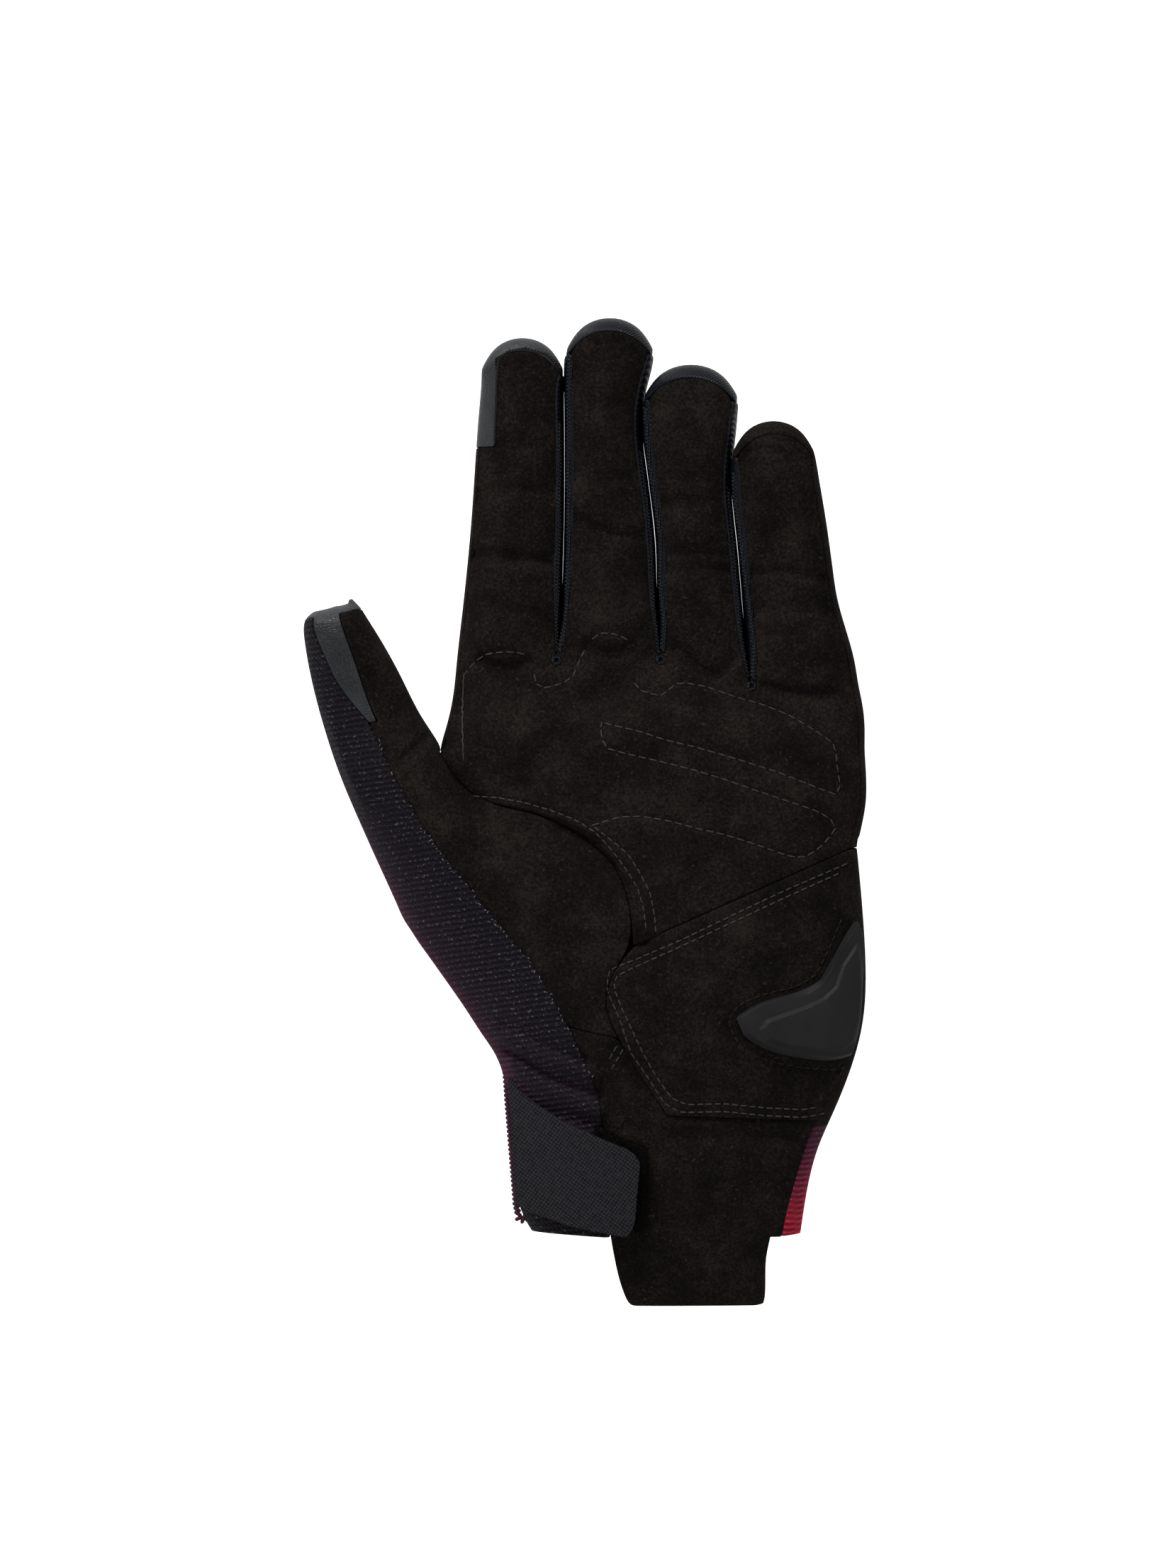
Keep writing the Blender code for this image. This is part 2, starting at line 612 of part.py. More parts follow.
def hand_loops(palm, thumb):
    """Loops of the hand from the thumb crotch to the cuff."""
    thumb_front, thumb_right, thumb_back, thumb_left = thumb
    palm_front, palm_right, palm_back, palm_left = palm
    first = (thumb_front + palm_front[1:], palm_right, thumb_back + palm_back[1:], thumb_left)
    loops = [first]
    columns = len(palm_front) - 1
    for section in hand_rows()[1:]:
        outer, knit, seam, under_knit, under_seam, inner, edge = hand_place(section)
        tall = read_curve(FRONT_HEIGHTS, section)
        middle = (tall - REST_FLATNESS) / 2
        above = tall - middle
        below = middle + REST_FLATNESS
        top = evenly(knit, seam, THUMB_COLUMNS) + evenly(seam, inner, columns)[1:]
        under = evenly(under_knit, under_seam, THUMB_COLUMNS)
        under += evenly(under_seam, inner, columns)[1:]
        way = ease(section / CROTCH_SECTIONS)
        sheets = []
        for places, start, sign in ((top, first[0], 1), (under, first[2], -1)):
            walk = [(places[0] - outer).length]
            for a, b in zip(places, places[1:]):
                walk.append(walk[-1] + (b - a).length)
            total = walk[-1] + (edge - places[-1]).length
            sheet = []
            for place, gone, (spare, height) in zip(places, walk, start):
                lift = arch(2 * gone / total - 1)
                wide = middle + above * lift if sign > 0 else middle - below * lift
                sheet.append((place, on_rest(mix(height, wide, way))))
            sheets.append((sheet, 2 * walk[0] / total - 1, 2 * walk[-1] / total - 1))
        front, front_left, front_right = sheets[0]
        back, back_left, back_right = sheets[1]
        right = side_arc(edge, (inner, inner), (front_right, back_right), middle, above, below)
        left = side_arc(outer, (knit, under_knit), (front_left, back_left), middle, above, below)
        right = blend_side(first[1], right, way, keep_places=True)
        left = blend_side(first[3], left, way, keep_places=True)
        loops.append((front, right, back, left))
    return loops


def press_folds(loops, fingers=False):
    """Press the folds into the front of a list of loops."""
    result = []
    for front, right, back, left in loops:
        pressed = []
        for number, (place, height) in enumerate(front):
            at_edge = 0 < number < len(front) - 1
            depth = fold_depth(place) if at_edge or not fingers else fold_depth(place) * 0.4
            pressed.append((place, height - depth))
        result.append((pressed, right, back, left))
    return result


def add_tube(skin, loops, layer, name_face):
    """Add the quads between loops to the skin, and name each face's panel."""
    grid = [[skin.verts.new(point) for point in close_loop(*loop)] for loop in loops]
    count = len(grid[0])
    front_count = len(loops[0][0]) - 1
    for row in range(len(grid) - 1):
        for column in range(count):
            after = (column + 1) % count
            corners = (grid[row][column], grid[row][after],
                       grid[row + 1][after], grid[row + 1][column])
            face = skin.faces.new(corners)
            face[layer] = PANEL_NAMES.index(name_face(row, *part_of(column, front_count)))
    return grid


def part_of(column, front_count):
    """Which side of a loop a column of faces is on, and its number there."""
    if column < front_count:
        return "front", column
    column -= front_count
    if column < SIDE_COLUMNS:
        return "right", column
    column -= SIDE_COLUMNS
    if column < front_count:
        return "back", front_count - 1 - column
    return "left", column - front_count


FOURCHETTES = ("fourchette_index_middle", "fourchette_middle_ring", "fourchette_ring_little")
TIP_PANELS = ("index_tip_patch", "middle_tip", "ring_tip", "little_side")
TIP_ROW = len(FINGER_SECTIONS) + 1
PATCH_ROW = TIP_ROW - 3


def finger_panel(number):
    """A function that names the panel of a finger's face."""
    left = "index_side" if number == 0 else FOURCHETTES[number - 1]
    right = "little_side" if number == 3 else FOURCHETTES[number]

    def name_face(row, part, column):
        if row >= TIP_ROW:
            return TIP_PANELS[number]
        if number == 0 and row >= PATCH_ROW and (part == "left" or (part, column) == ("front", 0)):
            return "index_tip_patch"
        return {"front": "palm_panel", "back": "back_panel", "left": left, "right": right}[part]

    return name_face


def palm_panel(row, part, column):
    """The panel of a face between the finger roots and the thumb crotch."""
    return {"front": "palm_panel", "back": "back_panel",
            "left": "index_side", "right": "little_side"}[part]


def thumb_panel(row, part, column):
    """The panel of a face of the thumb."""
    if row >= len(THUMB_SECTIONS) - 2 or (part == "front" and column < 2 and row >= 2):
        return "thumb_tip_patch"
    return "thumb_panel" if part in ("front", "right") else "thumb_back"


def hand_panel(row, part, column):
    """The panel of a face below the thumb crotch."""
    rows = hand_rows()
    section = (rows[row] + rows[row + 1]) / 2
    if part == "left" or (part == "back" and column < THUMB_COLUMNS):
        return "thumb_back"
    if part == "back":
        return "back_panel"
    if part == "right":
        return "little_side" if section < PALM_END else "back_panel"
    if column < THUMB_COLUMNS:
        return "thumb_panel" if section < BALL_END else "wrist_panel"
    if section < PALM_END:
        return "palm_panel"
    return "heel_patch" if section < HEEL_END else "wrist_panel"


def add_tongue(skin, layer, cuff_row):
    """Add the pull tongue below the front of the cuff."""
    edge = cuff_row[:-2]
    above = edge
    first = edge[0].co.copy()
    last = edge[-1].co.copy()
    level = min(first.y, last.y)
    for share, left, right in TONGUE_ROWS:
        below = []
        for number in range(len(edge)):
            across = mix(left, right, number / (len(edge) - 1))
            x = mix(first.x, last.x, across)
            height = edge[number].co.z - TONGUE_DROP * share
            below.append(skin.verts.new((x, level - TONGUE_LENGTH * share, height)))
        for number in range(len(edge) - 1):
            face = skin.faces.new((above[number], above[number + 1],
                                   below[number + 1], below[number]))
            face[layer] = PANEL_NAMES.index("wrist_panel")
        above = below


def build_skin():
    """The whole skin of the glove, with each face's panel in a layer."""
    skin = bmesh.new()
    layer = skin.faces.layers.int.new("panel")
    fingers = [press_folds(finger_loops(number), True) for number in range(4)]
    roots = join_roots(fingers)
    palm = [roots] + press_folds(palm_loops(roots), True)
    thumb = press_folds(thumb_loops(), True)
    hand = hand_loops(palm[-1], thumb[0])
    hand = [hand[0]] + press_folds(hand[1:])
    for number, loops in enumerate(fingers):
        add_tube(skin, list(reversed(loops)), layer, reverse_rows(finger_panel(number), loops))
    add_tube(skin, palm, layer, palm_panel)
    add_tube(skin, list(reversed(thumb)), layer, reverse_rows(thumb_panel, thumb))
    grid = add_tube(skin, hand, layer, hand_panel)
    add_tongue(skin, layer, grid[-1][:len(hand[0][0])])
    bmesh.ops.remove_doubles(skin, verts=skin.verts, dist=0.00002)
    bmesh.ops.recalc_face_normals(skin, faces=skin.faces)
    highest = max(skin.faces, key=lambda face: face.calc_center_median().z)
    if highest.normal.z < 0:
        bmesh.ops.reverse_faces(skin, faces=skin.faces)
    skin.normal_update()
    return skin


def join_roots(fingers):
    """The loop of the four finger roots together."""
    top = []
    under = []
    for loops in fingers:
        front, right, back, left = loops[0]
        top += front if not top else front[1:]
        under += back if not under else back[1:]
    return (top, fingers[-1][0][1], under, fingers[0][0][3])


def reverse_rows(name_face, loops):
    """The same panel names for loops that are added from the tip to the root."""
    last = len(loops) - 2
    return lambda row, part, column: name_face(last - row, part, column)


def new_object(name, mesh_source, colour, roughness):
    """An object with its own material from a bmesh."""
    mesh = bpy.data.meshes.new(name)
    mesh_source.to_mesh(mesh)
    mesh_source.free()
    material = bpy.data.materials.new(name)
    material.use_nodes = True
    shader = material.node_tree.nodes["Principled BSDF"]
    shader.inputs["Base Color"].default_value = (*colour, 1)
    shader.inputs["Roughness"].default_value = roughness
    shader.inputs["Metallic"].default_value = 0.0
    mesh.materials.append(material)
    item = bpy.data.objects.new(name, mesh)
    bpy.context.scene.collection.objects.link(item)
    return item


def seam_shift(vert, inside):
    """The move that pulls a seam vertex half the seam gap into its own panel."""
    move = Vector()
    for edge in vert.link_edges:
        own = [face for face in edge.link_faces if face in inside]
        if len(own) != 1:
            continue
        along = (edge.verts[1].co - edge.verts[0].co).normalized()
        inward = own[0].normal.cross(along)
        middle = (edge.verts[0].co + edge.verts[1].co) / 2
        if inward.dot(own[0].calc_center_median() - middle) < 0:
            inward.negate()
        move += inward
    if move.length < 1e-6:
        return Vector()
    return move.normalized() * SEAM_GAP / 2 * min(2 / move.length, SEAM_CORNER)


def wall_directions(skin):
    """For each vertex of the skin, the outward direction of its wall, evened out."""
    directions = {vert: vert.normal.copy() for vert in skin.verts}
    for turn in range(WALL_SMOOTHING):
        evened = {}
        for vert, direction in directions.items():
            total = direction * 2
            for edge in vert.link_edges:
                total += directions[edge.other_vert(vert)]
            evened[vert] = total.normalized()
        directions = evened
    return directions


def panel_wall(skin, layer, directions, name):
    """A closed wall made of one panel's faces of the skin."""
    wall, raised, colour, roughness = PANELS[name]
    index = PANEL_NAMES.index(name)
    faces = [face for face in skin.faces if face[layer] == index]
    inside = set(faces)
    solid = bmesh.new()
    outer = {}
    inner = {}
    for face in faces:
        for vert in face.verts:
            if vert in outer:
                continue
            place = vert.co + seam_shift(vert, inside)
            outer[vert] = solid.verts.new(place + directions[vert] * raised)
            inner[vert] = solid.verts.new(place - directions[vert] * wall)
    for face in faces:
        solid.faces.new([outer[vert] for vert in face.verts])
        solid.faces.new([inner[vert] for vert in reversed(face.verts)])
        for edge in face.edges:
            if sum(other in inside for other in edge.link_faces) != 1:
                continue
            loop = next(loop for loop in face.loops if loop.edge == edge)
            a = loop.vert
            b = loop.link_loop_next.vert
            solid.faces.new((outer[b], outer[a], inner[a], inner[b]))
    keep_on_rest(solid)
    return new_object(name, solid, colour, roughness)


def keep_on_rest(solid):
    """Level what the wall's normals moved below the surface that the glove lies on."""
    for vert in solid.verts:
        vert.co.z = on_rest(vert.co.z)


class Surface:
    """The skin as a surface that other pieces are laid on."""

    def __init__(self, skin):
        self.tree = BVHTree.FromBMesh(skin)
        self.faces = [(face.normal.copy(), [(v.co.copy(), v.normal.copy()) for v in face.verts])
                      for face in skin.faces]

    def lay(self, place):
        """The point and the smooth normal of the front at a place."""
        sky = Vector((place.x, place.y, 1.0))
        hit, normal, index, distance = self.tree.ray_cast(sky, Vector((0, 0, -1)))
        if hit is None:
            near = Vector((place.x, place.y, PALM_HEIGHT / 2))
            hit, normal, index, distance = self.tree.find_nearest(near)
        total = Vector()
        for corner, corner_normal in self.faces[index][1]:
            total += corner_normal / max((corner - hit).length, 0.0002) ** 1.5
        return hit, total.normalized()


def sheet_solid(name, grid_bottom, grid_top, colour, roughness):
    """A closed solid between two grids of points of the same size."""
    solid = bmesh.new()
    bottom = [[solid.verts.new(point) for point in row] for row in grid_bottom]
    top = [[solid.verts.new(point) for point in row] for row in grid_top]
    rows = len(top)
    columns = len(top[0])
    for i in range(rows - 1):
        for j in range(columns - 1):
            solid.faces.new((top[i][j], top[i][j + 1], top[i + 1][j + 1], top[i + 1][j]))
            solid.faces.new((bottom[i][j], bottom[i + 1][j], bottom[i + 1][j + 1],
                             bottom[i][j + 1]))
    ring = [(0, j) for j in range(columns)] + [(i, columns - 1) for i in range(1, rows)]
    ring += [(rows - 1, j) for j in range(columns - 2, -1, -1)]
    ring += [(i, 0) for i in range(rows - 2, 0, -1)]
    for (i, j), (m, n) in zip(ring, ring[1:] + ring[:1]):
        solid.faces.new((top[i][j], bottom[i][j], bottom[m][n], top[m][n]))
    bmesh.ops.recalc_face_normals(solid, faces=solid.faces)
    return new_object(name, solid, colour, roughness)


def build_pad(surface):
    """The fuzzy fastening pad on the wrist."""
    corners = [spot(*corner) for corner in PAD_CORNERS]
    bottom = []
    top = []
    for i in range(PAD_CELLS + 1):
        low = []
        high = []
        for j in range(PAD_CELLS + 1):
            first = corners[0].lerp(corners[1], j / PAD_CELLS)
            second = corners[3].lerp(corners[2], j / PAD_CELLS)
            hit, normal = surface.lay(first.lerp(second, i / PAD_CELLS))
            low.append(hit + normal * SEAT_GAP)
            high.append(hit + normal * (SEAT_GAP + PAD_THICKNESS))
        bottom.append(low)
        top.append(high)
    return sheet_solid("loop_pad", bottom, top, (0.006, 0.006, 0.006), 1.0)


def build_strap(surface):
    """The strap that closes the cuff, fastened on its pad."""
    last = len(STRAP_STATIONS) - 1
    tops = [spot(row[0], row[1]) for row in STRAP_STATIONS]
    bottoms = [spot(row[2], row[3]) for row in STRAP_STATIONS]
    bottom = []
    top = []
    for i in range(STRAP_STEPS + 1):
        station = last * i / STRAP_STEPS
        on_pad = ease(station - STRAP_ON_PAD)
        lift = STRAP_SEAT + (PAD_THICKNESS + SEAT_GAP) * on_pad
        low = []
        high = []
        for j in range(STRAP_ROWS + 1):
            place = spline(tops, station).lerp(spline(bottoms, station), j / STRAP_ROWS)
            hit, normal = surface.lay(place)
            low.append(hit + normal * lift)
            high.append(hit + normal * (lift + STRAP_THICKNESS))
        bottom.append(low)
        top.append(high)
    return sheet_solid("strap", bottom, top, (0.02, 0.021, 0.024), 0.8)


def build_slider(surface):
    """The moulded slider: a bevelled plate that follows the edge of the palm."""
    outline = [spot(*row) for row in SLIDER_OUTLINE]
    centre = sum(outline, Vector((0, 0))) / len(outline)
    seat = PATCH_RAISE + SEAT_GAP
    count = len(outline)
    solid = bmesh.new()

    def ring_of(share, lift, shrink):
        ring = []
        for point in outline:
            place = centre.lerp(point, share)
            hit, normal = surface.lay(place)
            if shrink:
                place += (centre - place).normalized() * shrink * max(normal.z, 0.3)
                hit, normal = surface.lay(place)
            ring.append(solid.verts.new(hit + normal * lift))
        return ring

    hit, normal = surface.lay(centre)
    pole_low = solid.verts.new(hit + normal * seat)
    pole_high = solid.verts.new(hit + normal * (seat + SLIDER_HEIGHT))
    low = [ring_of(share, seat, 0.0) for share in SLIDER_RINGS + (1.0,)]
    edge = ring_of(1.0, seat + SLIDER_HEIGHT * 0.45, 0.0)
    high = [ring_of(1.0, seat + SLIDER_HEIGHT, SLIDER_BEVEL)]
    high += [ring_of(SLIDER_RINGS[0], seat + SLIDER_HEIGHT, 0.0)]
    rings = low + [edge] + high
    for i in range(count):
        after = (i + 1) % count
        solid.faces.new((pole_low, low[0][i], low[0][after]))
        solid.faces.new((pole_high, high[-1][after], high[-1][i]))
        for inner, outer in zip(rings, rings[1:]):
            solid.faces.new((inner[i], outer[i], outer[after], inner[after]))
    bmesh.ops.recalc_face_normals(solid, faces=solid.faces)
    return new_object("palm_slider", solid, (0.017, 0.017, 0.019), 0.5)


def centre_on_origin(items):
    """Move all pieces so that the origin is the bottom middle of the glove's box."""
    points = [vert.co for item in items for vert in item.data.vertices]
    shift = Vector((
        -(min(point.x for point in points) + max(point.x for point in points)) / 2,
        -(min(point.y for point in points) + max(point.y for point in points)) / 2,
        -min(point.z for point in points),
    ))
    for item in items:
        for vert in item.data.vertices:
            vert.co += shift


def main():
    """Clear the scene and model the glove."""
    for item in list(bpy.data.objects):
        bpy.data.objects.remove(item)
    skin = build_skin()
    layer = skin.faces.layers.int["panel"]
    surface = Surface(skin)
    directions = wall_directions(skin)
    items = [panel_wall(skin, layer, directions, name) for name in PANEL_NAMES]
    items.append(build_slider(surface))
    items.append(build_pad(surface))
    items.append(build_strap(surface))
    centre_on_origin(items)
    skin.free()
    triangles = sum(len(polygon.vertices) - 2 for item in items for polygon in item.data.polygons)
    print("pieces", len(items), "triangles", triangles)


main()
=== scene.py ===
# %% [markdown]
# This scene dresses a short riding glove for the left hand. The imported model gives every
# panel as a coarse wall of cloth or suede at its true place. Here each wall becomes smooth,
# gets its folds, seams and stitches, and then its finish. It lies on its back on a pale
# floor, palm up, and the camera looks straight down, as in a product photograph.

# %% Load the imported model
import math
import random

import bmesh
import bpy
import numpy as np
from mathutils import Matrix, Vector, noise
from mathutils.bvhtree import BVHTree


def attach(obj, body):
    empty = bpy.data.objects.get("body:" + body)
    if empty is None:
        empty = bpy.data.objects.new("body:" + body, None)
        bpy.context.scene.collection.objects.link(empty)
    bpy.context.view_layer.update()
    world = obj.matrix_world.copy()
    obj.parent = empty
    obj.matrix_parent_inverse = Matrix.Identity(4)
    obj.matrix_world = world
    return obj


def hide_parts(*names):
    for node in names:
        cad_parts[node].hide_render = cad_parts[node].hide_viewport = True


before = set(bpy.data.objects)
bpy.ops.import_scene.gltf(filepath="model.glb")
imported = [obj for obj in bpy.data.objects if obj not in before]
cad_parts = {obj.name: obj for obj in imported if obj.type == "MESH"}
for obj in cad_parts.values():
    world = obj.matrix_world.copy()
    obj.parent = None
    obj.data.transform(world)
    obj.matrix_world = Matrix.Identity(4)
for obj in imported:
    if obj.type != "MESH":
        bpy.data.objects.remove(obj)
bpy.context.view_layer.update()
print("packed nodes:", len(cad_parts))

# %% [markdown]
# Distances on the glove were read from the photograph, in its own pixels, because the
# camera looks straight down. One pixel is 0.18 mm. The middle of the glove's box is the
# origin of the model, so one small function turns a pixel into a place on the table.

# %% Scale of the photograph
PIXEL = 0.00018
MIDDLE_PIXEL = Vector((825.0, 1143.0))
MM = 0.001


def spot(px, py):
    """Place on the table of a pixel of the photograph."""
    return Vector(((px - MIDDLE_PIXEL.x) * PIXEL, (MIDDLE_PIXEL.y - py) * PIXEL))


# %% [markdown]
# The camera stands 2.5 m above the glove with a long lens, so that the fingers keep their
# width as they rise. A long lens from far away is what a studio uses for flat products.

# %% Camera
FRAME_HEIGHT = 2212 * PIXEL
FRAME_MIDDLE = spot(829.5, 1106)
CAMERA_HEIGHT = 2.5
SHARP_HEIGHT = 0.018

camera_data = bpy.data.cameras.new("camera")
camera_data.sensor_fit = "VERTICAL"
camera_data.sensor_height = 24
camera_data.lens = 24 * (CAMERA_HEIGHT - SHARP_HEIGHT) / FRAME_HEIGHT
camera_data.clip_end = 20
camera = bpy.data.objects.new("camera", camera_data)
camera.location = (FRAME_MIDDLE.x, FRAME_MIDDLE.y, CAMERA_HEIGHT)
bpy.context.scene.collection.objects.link(camera)
bpy.context.scene.camera = camera
print("camera lens", round(camera_data.lens, 1), "mm")

# %% [markdown]
# The floor and the light are plain. A big soft panel stands low beyond the fingertips and two
# weaker ones near the cuff, so every fold keeps a soft bright and a soft dark side. The world
# gives a weak and even light. The floor shines for the camera alone, so it is white in the
# picture and has no shadow.

# %% Floor and lights
KEY_POWER = 20
FILL_POWER = 3.5
RIM_POWER = 3
WORLD_STRENGTH = 0.34


def area_light(name, place, size, power):
    """A soft panel of light that looks at the glove."""
    light = bpy.data.lights.new(name, "AREA")
    light.shape = "RECTANGLE"
    light.size = size
    light.size_y = size
    light.energy = power
    item = bpy.data.objects.new(name, light)
    item.location = place
    item.rotation_euler = Vector(place).to_track_quat("Z", "Y").to_euler()
    bpy.context.scene.collection.objects.link(item)
    return item


area_light("key_panel", (-0.5, 1.25, 0.85), 0.6, KEY_POWER)
area_light("fill_panel", (0.9, -0.5, 1.1), 1.0, FILL_POWER)
area_light("rim_panel", (-0.9, -0.8, 0.7), 0.6, RIM_POWER)

world = bpy.data.worlds.new("studio")
world.use_nodes = True
world.node_tree.nodes["Background"].inputs["Color"].default_value = (1, 1, 1, 1)
world.node_tree.nodes["Background"].inputs["Strength"].default_value = WORLD_STRENGTH
bpy.context.scene.world = world
bpy.context.scene.view_settings.view_transform = "Standard"

# %% [markdown]
# Every material here is built by code from the same small helper, which adds one node with
# its settings and links. Colours are written as the hex values that a paint program shows,
# and one function turns them to the linear light that Blender works in.

# %% Material helpers


def linear(hex_colour):
    """Linear RGBA of an sRGB hex colour."""
    parts = [int(hex_colour[i:i + 2], 16) / 255 for i in (1, 3, 5)]
    light = [c / 12.92 if c <= 0.04045 else ((c + 0.055) / 1.055) ** 2.4 for c in parts]
    return (*light, 1.0)


def add(tree, kind, settings=None, **links):
    """One node with its settings, and its inputs set or linked by name."""
    node = tree.nodes.new(kind)
    for key, value in (settings or {}).items():
        setattr(node, key, value)
    for key, value in links.items():
        name = key.replace("_", " ")
        is_number = key[0] == "n" and key[1:].isdigit()
        socket = node.inputs[int(key[1:]) if is_number else name]
        if isinstance(value, bpy.types.NodeSocket):
            tree.links.new(value, socket)
        else:
            socket.default_value = value
    return node


def new_material(name, roughness, **sockets):
    """A material with its Principled shader, and the Object coordinates of its piece."""
    material = bpy.data.materials.new(name)
    material.use_nodes = True
    tree = material.node_tree
    shader = tree.nodes["Principled BSDF"]
    shader.inputs["Roughness"].default_value = roughness
    for key, value in sockets.items():
        shader.inputs[key.replace("_", " ")].default_value = value
    place = add(tree, "ShaderNodeTexCoord").outputs["Object"]
    return material, tree, shader, place


def spread(tree, place, scale, detail=4.0, roughness=0.6):
    """A noise at so many grains per metre."""
    return add(tree, "ShaderNodeTexNoise", Vector=place, Scale=scale, Detail=detail,
               Roughness=roughness).outputs["Fac"]


def ramp(tree, value, stops):
    """A colour ramp through (place, hex colour) stops."""
    node = add(tree, "ShaderNodeValToRGB", Fac=value)
    band = node.color_ramp
    band.elements[0].position = stops[0][0]
    band.elements[0].color = linear(stops[0][1])
    band.elements[1].position = stops[-1][0]
    band.elements[1].color = linear(stops[-1][1])
    for at, colour in stops[1:-1]:
        band.elements.new(at).color = linear(colour)
    return node.outputs["Color"]


def calc(tree, what, *values):
    """A maths node."""
    links = {f"n{i}": value for i, value in enumerate(values)}
    return add(tree, "ShaderNodeMath", {"operation": what}, **links).outputs[0]


def blend_colours(tree, share, first, second, how="MIX"):
    """A mix of two colours."""
    node = add(tree, "ShaderNodeMix", {"data_type": "RGBA", "blend_type": how})
    for socket, value in ((node.inputs[0], share), (node.inputs[6], first), (node.inputs[7], second)):
        if isinstance(value, bpy.types.NodeSocket):
            tree.links.new(value, socket)
        else:
            socket.default_value = value
    return node.outputs[2]


def bump(tree, shader, height, distance, strength=1.0, before=None):
    """Bump on the shader, on top of an earlier bump if there is one."""
    links = {"Height": height, "Distance": distance, "Strength": strength}
    if before is not None:
        links["Normal"] = before
    node = add(tree, "ShaderNodeBump", **links)
    tree.links.new(node.outputs["Normal"], shader.inputs["Normal"])
    return node.outputs["Normal"]


# %% [markdown]
# The palm is synthetic suede: a felt of very fine fibres that has been sanded until its face
# has a short nap. It takes light with no gloss and glows faintly at its edges, which is what
# the sheen value does. The nap shows as soft patches, where it is brushed one way or the
# other, and as lint that catches the light.

# %% Suede
NAP_PATCHES = 90
NAP_GRAIN = 1400
LINT = 900


def suede(name, deep, mid, bright):
    """Sanded synthetic suede with patches of nap and pale lint."""
    material, tree, shader, place = new_material(
        name, 0.95, Specular_IOR_Level=0.05, Sheen_Weight=0.04, Sheen_Roughness=0.5,
        Sheen_Tint=linear("#8d7f76"))
    patches = spread(tree, place, NAP_PATCHES, 5.0, 0.65)
    grain = spread(tree, place, NAP_GRAIN, 3.0, 0.7)
    mixed = calc(tree, "ADD", calc(tree, "MULTIPLY", patches, 0.45), calc(tree, "MULTIPLY", grain, 0.55))
    colour = ramp(tree, mixed, [(0.38, deep), (0.5, mid), (0.62, bright)])
    lint = spread(tree, place, LINT, 1.0, 0.5)
    specks = calc(tree, "MULTIPLY", calc(tree, "GREATER_THAN", lint, 0.73), 0.4)
    colour = blend_colours(tree, specks, colour, linear("#40382f"))
    tree.links.new(colour, shader.inputs["Base Color"])
    first = bump(tree, shader, grain, 0.0005, 1.0)
    bump(tree, shader, patches, 0.0014, 0.45, first)
    return material


palm_suede = suede("palm_suede", "#0d0a09", "#171412", "#282320")
patch_suede = suede("heel_suede", "#0c0a08", "#161311", "#26211e")
wrist_suede = suede("wrist_suede", "#0c0a09", "#151210", "#24201d")

# %% [markdown]
# The index finger and the thumb have patches of coated leather, black and grained, that work
# a touch screen. The coating gives it a soft gloss. The grain is a net of tiny cells, which
# a Voronoi pattern draws, about 0.7 mm across.

# %% Coated leather
LEATHER_CELLS = 1300


def coated_leather(name):
    """Black leather with a fine pressed grain."""
    material, tree, shader, place = new_material(name, 0.42, Specular_IOR_Level=0.4)
    cells = add(tree, "ShaderNodeTexVoronoi", {"feature": "DISTANCE_TO_EDGE"}, Vector=place,
                Scale=LEATHER_CELLS).outputs["Distance"]
    creased = calc(tree, "MINIMUM", calc(tree, "MULTIPLY", cells, 4.0), 1.0)
    soft = spread(tree, place, 160, 3.0)
    colour = ramp(tree, soft, [(0.35, "#15171a"), (0.65, "#24282c")])
    tree.links.new(colour, shader.inputs["Base Color"])
    rough = calc(tree, "MULTIPLY_ADD", soft, 0.25, 0.34)
    tree.links.new(rough, shader.inputs["Roughness"])
    bump(tree, shader, creased, 0.00016, 0.5)
    return material


leather = coated_leather("coated_leather")

# %% [markdown]
# Satin twill is woven so that long threads lie on top, in steep diagonal lines. They are
# smooth nylon and shine along the weave. The lines here are 0.6 mm apart, a little coarser
# than the real ones, so that they show.

# %% Satin twill
TWILL_LINES = 1 / (0.6 * MM)


def satin_twill(name, turn, dark, light, lines=TWILL_LINES, rough=0.38):
    """Navy nylon twill with diagonal threads."""
    material, tree, shader, place = new_material(name, rough, Specular_IOR_Level=0.22)
    turned = add(tree, "ShaderNodeMapping", Vector=place, Rotation=(0.35, 0.3, turn)).outputs[0]
    threads = add(tree, "ShaderNodeTexWave", {"wave_type": "BANDS", "bands_direction": "X"},
                  Vector=turned, Scale=lines / 10 * math.pi, Distortion=1.2, Detail=2.0,
                  Detail_Scale=3.0).outputs["Fac"]
    slub = spread(tree, place, 500, 3.0)
    colour = ramp(tree, calc(tree, "MULTIPLY", threads, slub), [(0.1, dark), (0.75, light)])
    tree.links.new(colour, shader.inputs["Base Color"])
    bump(tree, shader, threads, 0.00022, 0.7)
    return material


twill = satin_twill("satin_twill", 0.75, "#05070b", "#161b27")
braid_satin = satin_twill("braid_satin", 0.2, "#06070a", "#1b202b", rough=0.45)

# %% [markdown]
# The back of the hand is a rib knit, dyed from near black at the front edge to crimson at the
# back of the wrist. Its ribs lie across the hand, 1.4 mm apart. Each rib is a row of loops,
# and pale flecks show where white yarn runs through. The dye is a soft fade with the place
# on the hand, so it is worked out from the Object coordinates.

# %% Rib knit
RIB_PITCH = 1.4 * MM
LOOP_PITCH = 0.9 * MM


